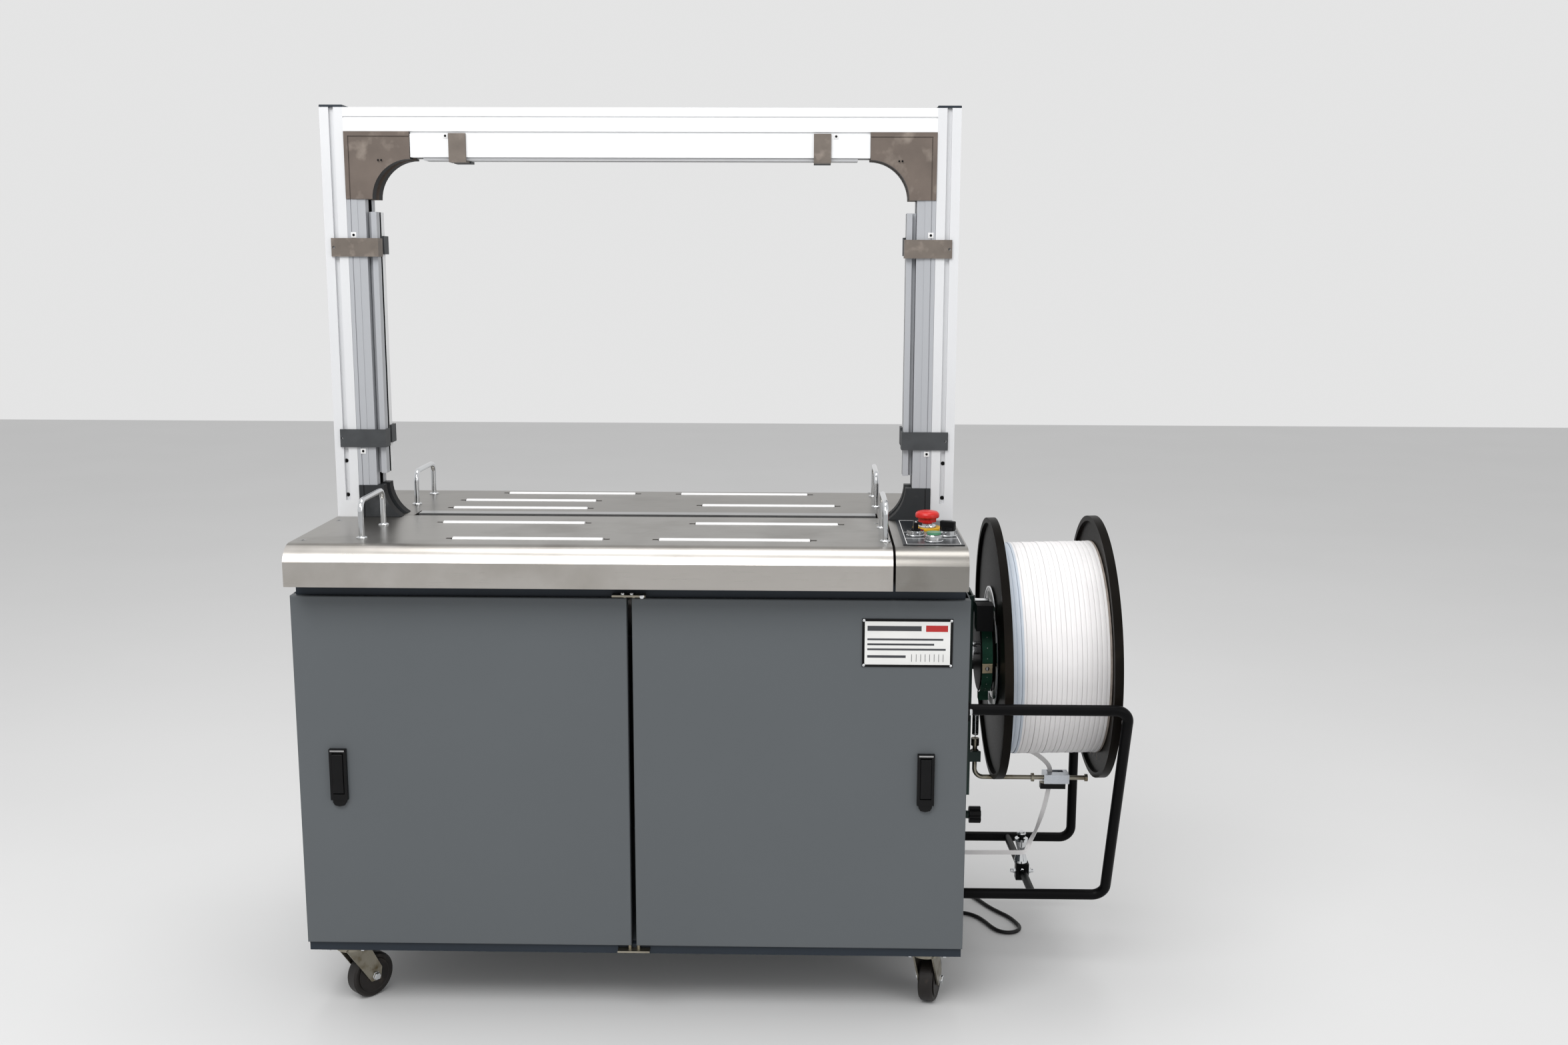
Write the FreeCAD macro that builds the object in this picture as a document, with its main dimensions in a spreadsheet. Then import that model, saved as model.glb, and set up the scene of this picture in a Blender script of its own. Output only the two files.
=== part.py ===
import FreeCAD, Part
import math
import os
import Sketcher
from FreeCAD import Placement, Rotation, Vector

# Arch strapping machine: cabinet on casters, stainless table with rollers, strap arch above it,
# reel of strap with its brake, guide roller and sprung arm on the right side.
# X runs to the right, Y to the back, Z up; the floor is Z 0. All lengths are millimetres.
# Every piece is drawn with X measured from the middle of the arch, then moved by MID.

SIZES = (
    # arch
    ("post_outer", 521), ("post_w", 38), ("post_d", 56), ("arch_top", 1465), ("beam_h", 38),
    ("groove_w", 8), ("groove_deep", 6), ("cap_h", 4), ("chute_w", 31), ("top_chute_h", 37),
    ("channel_w", 18), ("channel_deep", 20), ("flap_gap", 7), ("flap_w", 9), ("flap_d", 18),
    ("strap_gap", 8), ("corner_r", 64), ("corner_leg", 108), ("foot_leg", 54), ("free_gap", 0.3),
    ("flap_end", 20), ("clip_h", 30), ("clip_t", 3.5), ("clip_up", 1226), ("clip_low", 910),
    ("clip_reach", 510), ("top_clip_x", 297), ("top_clip_w", 28), ("top_flap_h", 4.5),
    # table
    ("table_top", 791), ("table_half", 522), ("flat_front", 272), ("nose_reach", 32),
    ("nose_drop", 24), ("nose_r", 36), ("lip_bottom", 728), ("sheet", 2), ("slit_front", 12),
    ("slit_back", 36), ("slit_half", 396), ("box_left", 411), ("cover_gap", 4), ("box_back", 31),
    ("roller_r", 9), ("roller_l", 236), ("roller_up", 2.5), ("slot_play", 0.7), ("notch_l", 9),
    ("notch_w", 8), ("stub_r", 3), ("stub_l", 15), ("run_play", 0.08), ("bearing_t", 6),
    # handles
    ("handle_r", 4.4), ("handle_h", 63), ("handle_x_left", 421), ("handle_x_right", 398),
    ("handle_in", 107), ("handle_out", 229), ("handle_bend", 16),
    # cabinet
    ("cab_half", 531), ("cab_front", 235), ("cab_back", 255), ("door_front", 255), ("door_t", 18),
    ("door_low", 127), ("door_high", 703.5), ("door_gap", 4), ("door_skin", 2), ("stile", 16),
    ("pin_x", 7), ("pin_in", 5), ("pin_r", 3), ("pin_l", 14), ("hinge_w", 26), ("hinge_t", 3),
    ("base_low", 112), ("band_low", 704), ("band_set", 8), ("rail_w", 30), ("wall", 2),
    ("latch_x", 466), ("latch_w", 27), ("latch_low", 372), ("latch_high", 456), ("latch_t", 7),
    ("lever_w", 17), ("lever_l", 62), ("lever_t", 5), ("tab_r", 8),
    ("label_left", 363), ("label_right", 504), ("label_low", 597), ("label_high", 674), ("label_t", 1.5),
    # switches
    ("panel_t", 1.5), ("panel_left", 424), ("panel_right", 519), ("panel_front", 260), ("panel_back", 36),
    ("stop_x", 471), ("stop_y", 122), ("toggle_x", 448), ("dial_x", 499), ("dial_y", 182),
    ("start_x", 473), ("start_y", 232), ("bezel_r", 13.5), ("bezel_h", 9), ("bezel_bore", 8.6),
    ("disc_r", 23.5), ("disc_h", 3), ("cap_r", 19.5), ("stop_body_r", 14.5), ("shaft_r", 8.2),
    ("start_travel", 3), ("stop_travel", 5),
    # reel
    ("reel_y", 10), ("reel_z", 560), ("reel_tilt", 1.5), ("flange_r", 226), ("flange_t", 3),
    ("reel_out", 67), ("reel_w", 177), ("core_r", 98), ("roll_r", 183), ("roll_w", 170),
    ("drum_r", 72), ("drum_w", 22), ("drum_gap", 5), ("hub_r", 22), ("axle_r", 12), ("band_t", 2.6),
    ("bracket_out", 30), ("bracket_w", 70), ("bracket_low", 305), ("bracket_high", 660),
    # stand
    ("tube_r", 8.8), ("stand_out", 265), ("loop_bend", 22), ("front_top_y", 232), ("front_top_z", 522),
    ("front_low_y", 100), ("front_low_z", 156), ("rear_y", 232), ("rear_top_z", 470), ("rear_low_z", 128),
    ("cross_out", 134), ("guide_out", 130), ("guide_y", 20), ("guide_r", 10.5), ("guide_h", 44),
    ("guide_z", 164),
    # sprung arm
    ("arm_r", 4), ("arm_out", 42), ("arm_pivot_z", 367), ("arm_low_z", 326), ("arm_end_out", 239),
    ("arm_top_z", 392), ("eye_out", 186), ("eye_block_w", 44), ("spring_r", 5), ("spring_top", 446),
    # knob
    ("knob_z", 256), ("knob_r", 15), ("knob_t", 20), ("stud_r", 4),
    # casters
    ("wheel_r", 38), ("wheel_w", 26), ("wheel_bore", 5), ("trail", 33), ("caster_x", 476),
    ("caster_y", 205),
    ("race_r", 24), ("race_h", 7), ("plate_l", 74), ("plate_t", 4), ("leg_t", 3), ("king_r", 5),
    # strap and cord
    ("strap_w", 8), ("strap_t", 0.9), ("cord_r", 3.5), ("gland_x", 470), ("gland_y", 110), ("gland_r", 9),
)

doc = FreeCAD.newDocument("StrappingMachine")
sheet = doc.addObject("Spreadsheet::Sheet", "Q")
for row, (alias, number) in enumerate(SIZES, start=1):
    sheet.set("A%d" % row, alias)
    sheet.set("B%d" % row, str(number))
    sheet.setAlias("B%d" % row, alias)
doc.recompute()

MID = "-Q.stand_out / 2"
NODES = []


def val(text):
    return float(sheet.evalExpression(text))


def size(alias):
    return float(sheet.get(alias))


def out(alias):
    """X of a thing on the cabinet's side, from how far it stands out."""
    return size("cab_half") + size(alias)


def place(obj, at, rotation=None):
    if rotation is not None:
        obj.Placement = Placement(Vector(), rotation)
    for axis, text in zip("xyz", at):
        obj.setExpression("Placement.Base." + axis, str(text))
    return obj


def box(name, low, high):
    """A box between two corners, each corner three expressions."""
    obj = doc.addObject("Part::Box", name)
    for prop, a, b in zip(("Length", "Width", "Height"), low, high):
        obj.setExpression(prop, "(%s) - (%s)" % (b, a))
    return place(obj, low)


AXES = {"x": Rotation(Vector(0, 0, 1), Vector(1, 0, 0)), "y": Rotation(Vector(0, 0, 1), Vector(0, 1, 0)),
        "z": Rotation(), "-y": Rotation(Vector(0, 0, 1), Vector(0, -1, 0))}


def rod(name, radius, length, at, axis="z"):
    obj = doc.addObject("Part::Cylinder", name)
    obj.setExpression("Radius", str(radius))
    obj.setExpression("Height", str(length))
    return place(obj, at, AXES[axis])


def cone(name, low_r, high_r, length, at, axis="z"):
    obj = doc.addObject("Part::Cone", name)
    obj.setExpression("Radius1", str(low_r))
    obj.setExpression("Radius2", str(high_r))
    obj.setExpression("Height", str(length))
    return place(obj, at, AXES[axis])


def fuse(name, *parts):
    obj = doc.addObject("Part::MultiFuse", name)
    obj.Shapes = list(parts)
    return obj


def cut(name, base, *tools):
    obj = doc.addObject("Part::Cut", name)
    obj.Base = base
    obj.Tool = tools[0] if len(tools) == 1 else fuse(name + "_tools", *tools)
    return obj


def group(name, *parts):
    obj = doc.addObject("Part::Compound", name)
    obj.Links = list(parts)
    return obj


def soften(name, base, radius, wanted):
    """Round the edges of base that wanted() picks by their middle point and direction."""
    doc.recompute()
    rows = []
    for index, edge in enumerate(base.Shape.Edges, start=1):
        middle = edge.valueAt((edge.FirstParameter + edge.LastParameter) / 2)
        if wanted(middle, edge):
            rows.append((index, radius, radius))
    obj = doc.addObject("Part::Fillet", name)
    obj.Base = base
    obj.Edges = rows
    return obj


def node(label, obj, at=("0", "0", "0"), rotation=None):
    """Give a finished piece its name and its place on the machine."""
    wrapped = group(label + "_piece", obj)
    wrapped.Label = label
    place(wrapped, ("%s + %s" % (MID, at[0]), at[1], at[2]), rotation)
    NODES.append(wrapped)
    return wrapped


def feature(name, shape):
    obj = doc.addObject("Part::Feature", name)
    obj.Shape = shape
    return obj


def body(name):
    return doc.addObject("PartDesign::Body", name)


def plane(owner, role):
    for item in owner.Origin.OriginFeatures:
        if item.Role == role:
            return item
    raise ValueError(role)


def outline(owner, name, role, points, arcs=None, offset="0"):
    """Closed sketch through points (expression pairs); arcs maps a side's number to its radius."""
    arcs = arcs or {}
    sk = owner.newObject("Sketcher::SketchObject", name)
    sk.AttachmentSupport = [(plane(owner, role), "")]
    sk.MapMode = "FlatFace"
    sk.setExpression("AttachmentOffset.Base.z", offset)
    spots = [Vector(val(a), val(b), 0) for a, b in points]
    count = len(spots)
    for side in range(count):
        a, b = spots[side], spots[(side + 1) % count]
        if side in arcs:
            bend = val(arcs[side])
            half = (b - a).Length / 2
            normal = Vector(-(b - a).y, (b - a).x, 0).normalize()
            rise = abs(bend) - math.sqrt(bend * bend - half * half)
            middle = (a + b) / 2 + normal * math.copysign(rise, bend)
            ends = (a, b) if (b - a).cross(middle - a).z < 0 else (b, a)
            sk.addGeometry(Part.Arc(ends[0], middle, ends[1]), False)
        else:
            sk.addGeometry(Part.LineSegment(a, b), False)
    for side in range(count):
        geo = sk.Geometry[side]
        first = geo.StartPoint.distanceToPoint(spots[side]) < geo.StartPoint.distanceToPoint(
            spots[(side + 1) % count])
        near = 1 if first else 2
        after = (side + 1) % count
        geo_next = sk.Geometry[after]
        first_next = geo_next.StartPoint.distanceToPoint(spots[after]) < geo_next.StartPoint.distanceToPoint(
            spots[(after + 1) % count])
        sk.addConstraint(Sketcher.Constraint("Coincident", side, 3 - near, after, 1 if first_next else 2))
        for kind, text, place_now in (("DistanceX", points[side][0], spots[side].x),
                                      ("DistanceY", points[side][1], spots[side].y)):
            index = sk.addConstraint(Sketcher.Constraint(kind, -1, 1, side, near, place_now))
            sk.setExpression("Constraints[%d]" % index, str(text))
        if side in arcs:
            index = sk.addConstraint(Sketcher.Constraint("Radius", side, abs(val(arcs[side]))))
            sk.setExpression("Constraints[%d]" % index, "abs(%s)" % arcs[side])
    return sk


def pad(owner, sk, length, name="Pad", backwards=False):
    step = owner.newObject("PartDesign::Pad", owner.Name + name)
    step.Profile = sk
    step.setExpression("Length", str(length))
    step.Reversed = backwards
    return step


def revolve(owner, sk, axis):
    step = owner.newObject("PartDesign::Revolution", owner.Name + "Turn")
    step.Profile = sk
    step.ReferenceAxis = (plane(owner, axis), [""])
    step.Angle = 360
    return step


def bent_path(points, radii):
    """Straight runs joined by tangent arcs, one radius for each inner point."""
    edges = []
    at = points[0]
    for before, point, after, radius in zip(points, points[1:], points[2:], radii):
        come = (point - before).normalize()
        leave = (after - point).normalize()
        turn = come.getAngle(leave)
        back = radius * math.tan(turn / 2)
        start = point - come * back
        end = point + leave * back
        inward = (leave - come).normalize()
        middle = point + inward * (radius / math.cos(turn / 2) - radius)
        if (start - at).Length > 1e-6:
            edges.append(Part.LineSegment(at, start).toShape())
        edges.append(Part.Arc(start, middle, end).toShape())
        at = end
    edges.append(Part.LineSegment(at, points[-1]).toShape())
    return Part.Wire(edges)


def tube_along(points, radii, radius):
    path = bent_path(points, radii)
    ring = Part.Wire([Part.Circle(points[0], points[1] - points[0], radius).toShape()])
    solid = path.makePipeShell([ring], True, False)
    wanted = math.pi * radius * radius * path.Length
    if abs(solid.Volume - wanted) > 0.02 * wanted:
        raise ValueError("a swept tube lost volume")
    return solid


def mirror_x(low, high):
    """The same box on the other side of X 0."""
    return (("-(%s)" % high[0],) + tuple(low[1:]), ("-(%s)" % low[0],) + tuple(high[1:]))


def sided(side, low, high):
    return (low, high) if side > 0 else mirror_x(low, high)


# ---------------------------------------------------------------- arch

POST_IN = "Q.post_outer - Q.post_w"
CHUTE_IN = POST_IN + " - Q.chute_w"
FLAP_IN = CHUTE_IN + " - Q.flap_gap - Q.flap_w"
BEAM_LOW = "Q.arch_top - Q.beam_h"
TOP_CHUTE_HIGH = BEAM_LOW + " - 4"
TOP_CHUTE_LOW = BEAM_LOW + " - 4 - Q.top_chute_h"
FOOT_TOP = "Q.table_top + Q.foot_leg"
FRONT = "-Q.post_d / 2"
BACK = "Q.post_d / 2"
POST_FOOT = "Q.lip_bottom"


def arch_frame():
    """Two slotted posts and the slotted beam bolted between them."""
    pieces = []
    middle = "Q.post_outer - Q.post_w / 2"
    for side, name in ((-1, "post_left"), (1, "post_right")):
        stock = box(name, *sided(side, (POST_IN, FRONT, POST_FOOT), ("Q.post_outer", BACK, "Q.arch_top")))
        grooves = []
        for face, low_y, high_y in (("front", FRONT + " - 1", FRONT + " + Q.groove_deep"),
                                    ("back", BACK + " - Q.groove_deep", BACK + " + 1")):
            grooves.append(box("%s_groove_%s" % (name, face), *sided(
                side, (middle + " - Q.groove_w / 2", low_y, FOOT_TOP + " - 26"),
                (middle + " + Q.groove_w / 2", high_y, "Q.arch_top + 1"))))
        core = rod(name + "_core", 5, "Q.arch_top - (%s) + 2" % POST_FOOT,
                   ("%d * (%s)" % (side, middle), "0", POST_FOOT + " - 1"))
        pieces.append(cut(name + "_profile", stock, core, *grooves))
    beam = box("beam", ("-(%s)" % POST_IN, FRONT, BEAM_LOW), (POST_IN, BACK, "Q.arch_top"))
    lines = []
    for face, low_y, high_y in (("front", FRONT + " - 1", FRONT + " + 2"),
                                ("back", BACK + " - 2", BACK + " + 1")):
        lines.append(box("beam_groove_" + face, ("-(%s) - 1" % POST_IN, low_y, BEAM_LOW + " + 21"),
                         (POST_IN + " + 1", high_y, BEAM_LOW + " + 24")))
    pieces.append(cut("beam_profile", beam, *lines))
    node("arch_frame", group("arch_frame_set", *pieces))


def corner_brackets():
    """Moulded quarter-arc strap guides in the four corners, and the caps on the posts."""
    pieces = []
    proud_front = FRONT + " - 1.8"
    proud_back = BACK + " + 1.8"
    top = BEAM_LOW + " - Q.free_gap"
    low = BEAM_LOW + " - Q.corner_leg"
    arc_x = POST_IN + " - Q.corner_leg"
    foot_arc_x = POST_IN + " - 42 - Q.corner_r"
    for side, name in ((-1, "left"), (1, "right")):
        outer = POST_IN + " - Q.free_gap"
        block = box("top_corner_" + name, *sided(side, (arc_x, proud_front, low), (outer, proud_back, top)))
        scoop = rod("top_scoop_" + name, "Q.corner_r", "Q.post_d + 8",
                    ("%d * (%s)" % (side, arc_x), FRONT + " - 4", low), "y")
        channel = rod("top_channel_" + name, "Q.corner_r + 14", "Q.channel_w",
                      ("%d * (%s)" % (side, arc_x), "-Q.channel_w / 2", low), "y")
        rim_side = box("top_rim_" + name, *sided(side, (POST_IN + " - 9", proud_front + " - 1",
                                                        low + " - 1"),
                                                 (POST_IN + " - 7", proud_front + " + 1.6", top + " - 7")))
        rim_top = box("top_rim_over_" + name, *sided(side, (arc_x + " - 1", proud_front + " - 1",
                                                            top + " - 9"),
                                                     (POST_IN + " - 7", proud_front + " + 1.6",
                                                      top + " - 7")))
        pieces.append(cut("top_bracket_" + name, block, scoop, channel, rim_side, rim_top))
        foot = box("foot_corner_" + name, *sided(
            side, (foot_arc_x + " + 30", proud_front, "Q.table_top + Q.free_gap"),
            (outer, proud_back, FOOT_TOP)))
        hollow = rod("foot_scoop_" + name, "Q.corner_r", "Q.post_d + 8",
                     ("%d * (%s)" % (side, foot_arc_x), FRONT + " - 4", FOOT_TOP), "y")
        slot = rod("foot_channel_" + name, "Q.corner_r + 14", "Q.channel_w",
                   ("%d * (%s)" % (side, foot_arc_x), "-Q.channel_w / 2", FOOT_TOP), "y")
        line = box("foot_line_" + name, *sided(
            side, (POST_IN + " - 10", proud_front + " - 1", "Q.table_top - 1"),
            (POST_IN + " - 8", proud_front + " + 1.6", FOOT_TOP + " + 1")))
        pieces.append(cut("foot_bracket_" + name, foot, hollow, slot, line))
        cap = box("cap_" + name, *sided(side, (POST_IN, FRONT, "Q.arch_top"),
                                        ("Q.post_outer", BACK, "Q.arch_top + Q.cap_h")))
        pieces.append(soften("cap_soft_" + name, cap, 1.2,
                             lambda middle, edge: middle.z > val("Q.arch_top + Q.cap_h") - 0.01))
    node("corner_brackets", group("corner_bracket_set", *pieces))


def chute_rails():
    """The three strap channels, each with its fixed rear flap."""
    pieces = []
    low = FOOT_TOP + " + Q.free_gap"
    high = BEAM_LOW + " - Q.corner_leg - Q.free_gap"
    for side, name in ((-1, "left"), (1, "right")):
        stock = box("chute_" + name, *sided(side, (CHUTE_IN, FRONT, low),
                                            (POST_IN + " - Q.free_gap", BACK, high)))
        channel = box("chute_channel_" + name, *sided(
            side, (CHUTE_IN + " - 1", "-Q.channel_w / 2", low + " - 1"),
            (CHUTE_IN + " + Q.channel_deep", "Q.channel_w / 2", high + " + 1")))
        vee = box("chute_step_" + name, *sided(
            side, (CHUTE_IN + " - 1", FRONT + " - 1", low + " - 1"),
            (CHUTE_IN + " + 13", FRONT + " + 0.8", high + " + 1")))
        line = box("chute_line_" + name, *sided(
            side, (POST_IN + " - 8", FRONT + " - 1", low + " - 1"), (POST_IN + " - 6.5", FRONT + " + 1.5",
                                                                     high + " + 1")))
        strip = box("rear_flap_" + name, *sided(
            side, (FLAP_IN, "Q.strap_gap / 2", low + " + Q.flap_end"),
            (CHUTE_IN + " - Q.flap_gap", "Q.strap_gap / 2 + Q.flap_d", high + " - Q.flap_end")))
        web = box("rear_web_" + name, *sided(
            side, (CHUTE_IN + " - Q.flap_gap - 1", "Q.channel_w / 2", low + " + Q.flap_end"),
            (CHUTE_IN + " + 1", "Q.channel_w / 2 + 6", high + " - Q.flap_end")))
        shell = cut("chute_cut_" + name, stock, channel, vee, line)
        pieces.append(fuse("chute_whole_" + name, shell, strip, web))
    inner = POST_IN + " - Q.corner_leg - Q.free_gap"
    stock = box("chute_top", ("-(%s)" % inner, FRONT, TOP_CHUTE_LOW), (inner, BACK, TOP_CHUTE_HIGH))
    rim = box("chute_top_rim", ("-(%s)" % inner, FRONT + " + 3", TOP_CHUTE_HIGH + " - 1"),
              (inner, BACK + " - 3", BEAM_LOW))
    channel = box("chute_top_channel", ("-(%s) - 1" % inner, "-Q.channel_w / 2", TOP_CHUTE_LOW + " - 1"),
                  (inner + " + 1", "Q.channel_w / 2", TOP_CHUTE_LOW + " + Q.channel_deep"))
    strip = box("rear_flap_top", ("-(%s) + Q.flap_end" % inner, "Q.strap_gap / 2",
                                  TOP_CHUTE_LOW + " - Q.top_flap_h"),
                (inner + " - Q.flap_end", "Q.strap_gap / 2 + Q.flap_d", TOP_CHUTE_LOW))
    pieces.append(fuse("chute_whole_top", cut("chute_cut_top", fuse("chute_top_stock", stock, rim),
                                              channel), strip))
    node("chute_rails", group("chute_rail_set", *pieces))


def front_flaps():
    """The three sprung flaps that close the channels at the front."""
    low = FOOT_TOP + " + Q.free_gap + Q.flap_end"
    high = BEAM_LOW + " - Q.corner_leg - Q.free_gap - Q.flap_end"
    front = "-Q.strap_gap / 2 - Q.flap_d"
    for side, name in ((-1, "left"), (1, "right")):
        strip = box("front_strip_" + name, *sided(side, (FLAP_IN, front, low),
                                                  (CHUTE_IN + " - Q.flap_gap", "-Q.strap_gap / 2", high)))
        web = box("front_web_" + name, *sided(side, (CHUTE_IN + " - Q.flap_gap - 1", "-Q.strap_gap / 2 - 8",
                                                     low),
                                              (CHUTE_IN + " - 0.6", "-Q.strap_gap / 2", high)))
        node(name + "_flap", fuse("front_flap_" + name, strip, web))
    inner = POST_IN + " - Q.corner_leg - Q.free_gap - Q.flap_end"
    strip = box("front_strip_top", ("-(%s)" % inner, front, TOP_CHUTE_LOW + " - Q.top_flap_h"),
                (inner, "-Q.strap_gap / 2", TOP_CHUTE_LOW + " - Q.free_gap"))
    node("top_flap", strip)


def clips():
    """Rubber straps that hold the flaps shut, front ones moving with the flaps, rear ones fixed."""
    face = FRONT + " - Q.free_gap"
    back = BACK + " + Q.free_gap"
    rear = []
    for side, name in ((-1, "left"), (1, "right")):
        front_set = []
        for number, low in enumerate(("Q.clip_low", "Q.clip_up")):
            tag = "%s_%d" % (name, number)
            high = low + " + Q.clip_h"
            arm = box("clip_arm_" + tag, *sided(
                side, (FLAP_IN + " - Q.clip_t", face + " - Q.clip_t", low), ("Q.clip_reach", face, high)))
            hook = box("clip_hook_" + tag, *sided(
                side, (FLAP_IN + " - Q.clip_t", face + " - Q.clip_t", low),
                (FLAP_IN, "-Q.strap_gap / 2 - 1", high)))
            hole = rod("clip_hole_" + tag, 2.2, "Q.clip_t + 4",
                       ("%d * (Q.clip_reach - 4)" % side, face + " - Q.clip_t - 2",
                        low + " + Q.clip_h / 2"), "y")
            front_set.append(cut("clip_front_" + tag, fuse("clip_bent_" + tag, arm, hook), hole))
            arm = box("clip_back_arm_" + tag, *sided(
                side, (FLAP_IN + " - Q.clip_t", back, low + " + 4"), ("Q.clip_reach", back + " + Q.clip_t",
                                                                      high + " + 4")))
            hook = box("clip_back_hook_" + tag, *sided(
                side, (FLAP_IN + " - Q.clip_t", "Q.strap_gap / 2 + 1", low + " + 4"),
                (FLAP_IN, back + " + Q.clip_t", high + " + 4")))
            rear.append(fuse("clip_rear_" + tag, arm, hook))
        node(name + "_clips", group("clip_set_" + name, *front_set))
    low = TOP_CHUTE_LOW + " - Q.top_flap_h"
    high = BEAM_LOW + " - 3"
    front_set = []
    for side, name in ((-1, "a"), (1, "b")):
        ends = ("%d * Q.top_clip_x - Q.top_clip_w / 2" % side,
                "%d * Q.top_clip_x + Q.top_clip_w / 2" % side)
        arm = box("clip_top_arm_" + name, (ends[0], face + " - Q.clip_t", low + " - Q.clip_t"),
                  (ends[1], face, high))
        hook = box("clip_top_hook_" + name, (ends[0], face + " - Q.clip_t", low + " - Q.clip_t"),
                   (ends[1], "-Q.strap_gap / 2 - 1", low))
        front_set.append(fuse("clip_top_" + name, arm, hook))
        arm = box("clip_top_back_arm_" + name, (ends[0], back, low + " - Q.clip_t"),
                  (ends[1], back + " + Q.clip_t", high))
        hook = box("clip_top_back_hook_" + name, (ends[0], "Q.strap_gap / 2 + 1", low + " - Q.clip_t"),
                   (ends[1], back + " + Q.clip_t", low))
        rear.append(fuse("clip_top_rear_" + name, arm, hook))
    node("top_clips", group("clip_set_top", *front_set))
    node("rear_clips", group("clip_set_rear", *rear))


# ---------------------------------------------------------------- table

NOSE_Y = "Q.flat_front + Q.nose_reach"

# middle of each roller: X, Y
ROLLERS = ((-164.5, 245), (-226, 158), (-229, 73), (157.5, 245), (206.5, 113),
           (-211, -78), (-161, -225), (209, -78), (163, -225))


def cover_profile(name, sign, inset, edge_y, low_x, high_x):
    """The rolled nose section of a cover, swept along X. sign is -1 in front, 1 behind."""
    owner = body(name)
    top = "Q.table_top - %s" % inset
    flat = "%d * Q.flat_front" % sign
    nose = "%d * (%s - %s)" % (sign, NOSE_Y, inset)
    drop = "Q.table_top - Q.nose_drop"
    low = "Q.lip_bottom" if inset == "0" else "Q.lip_bottom - 5"
    bend = "Q.nose_r - %s" % inset
    points = [(edge_y, top), (flat, top), (nose, drop), (nose, low), (edge_y, low)]
    sk = outline(owner, name + "Sketch", "YZ_Plane", points,
                 {1: "%s(%s)" % ("" if sign > 0 else "-", bend)}, low_x)
    pad(owner, sk, "(%s) - (%s)" % (high_x, low_x))
    return owner


def roller_slots(prefix, sign):
    """Slots, end notches and hanging bearings for the rollers on one side of the arch."""
    holes = []
    blocks = []
    top = "Q.table_top"
    drop = "Q.table_top + Q.roller_up - Q.roller_r"
    for index, (x, y) in enumerate(ROLLERS):
        if (y > 0) != (sign > 0):
            continue
        tag = "%s_%d" % (prefix, index)
        long_half = "Q.roller_l / 2 + 1.5"
        wide_half = "Q.roller_r - Q.slot_play"
        holes.append(box("slot_" + tag, ("%s - (%s)" % (x, long_half), "%s - (%s)" % (y, wide_half),
                                         top + " - 5"),
                         ("%s + %s" % (x, long_half), "%s + %s" % (y, wide_half), top + " + 1")))
        holes.append(box("notch_" + tag,
                         ("%s - (%s) - Q.notch_l" % (x, long_half), "%s - Q.notch_w / 2" % y, top + " - 5"),
                         ("%s + %s + Q.notch_l" % (x, long_half), "%s + Q.notch_w / 2" % y, top + " + 1")))
        for end in (-1, 1):
            near = "%s + %d * (Q.roller_l / 2 + Q.stub_l - 2)" % (x, end)
            block = box("bearing_%s_%d" % (tag, end + 1), (near + " - Q.bearing_t / 2", "%s - 8" % y,
                                                           drop + " - 7"),
                        (near + " + Q.bearing_t / 2", "%s + 8" % y, top + " - Q.sheet / 2"))
            bore = rod("bearing_bore_%s_%d" % (tag, end + 1), "Q.stub_r + Q.run_play", "Q.bearing_t + 4",
                       (near + " - Q.bearing_t / 2 - 2", str(y), drop), "x")
            blocks.append(cut("bearing_cut_%s_%d" % (tag, end + 1), block, bore))
    return holes, blocks


def front_table_cover():
    outer = cover_profile("FrontSkin", -1, "0", "-Q.slit_front", "-Q.table_half",
                          "Q.box_left - Q.cover_gap")
    inner = cover_profile("FrontHollow", -1, "Q.sheet", "-Q.slit_front + 5", "-Q.table_half + Q.sheet",
                          "Q.box_left - Q.cover_gap - Q.sheet")
    post = box("front_post_notch", ("-Q.table_half - 1", FRONT + " - 0.5", "Q.lip_bottom - 2"),
               ("-(%s) + 0.5" % POST_IN, "Q.table_half", "Q.table_top + 1"))
    holes, blocks = roller_slots("front", -1)
    for x in handle_places():
        holes.append(rod("front_handle_hole_%d" % len(holes), "Q.handle_r + 0.1", "Q.sheet + 4",
                         (x, "-Q.handle_in", "Q.table_top - Q.sheet - 2")))
        holes.append(rod("front_handle_hole_%d" % len(holes), "Q.handle_r + 0.1", "Q.sheet + 4",
                         (x, "-Q.handle_out", "Q.table_top - Q.sheet - 2")))
    plate = cut("front_cover_plate", outer, inner, post, *holes)
    node("front_table_cover", fuse("front_cover_whole", plate, *blocks))


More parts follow.
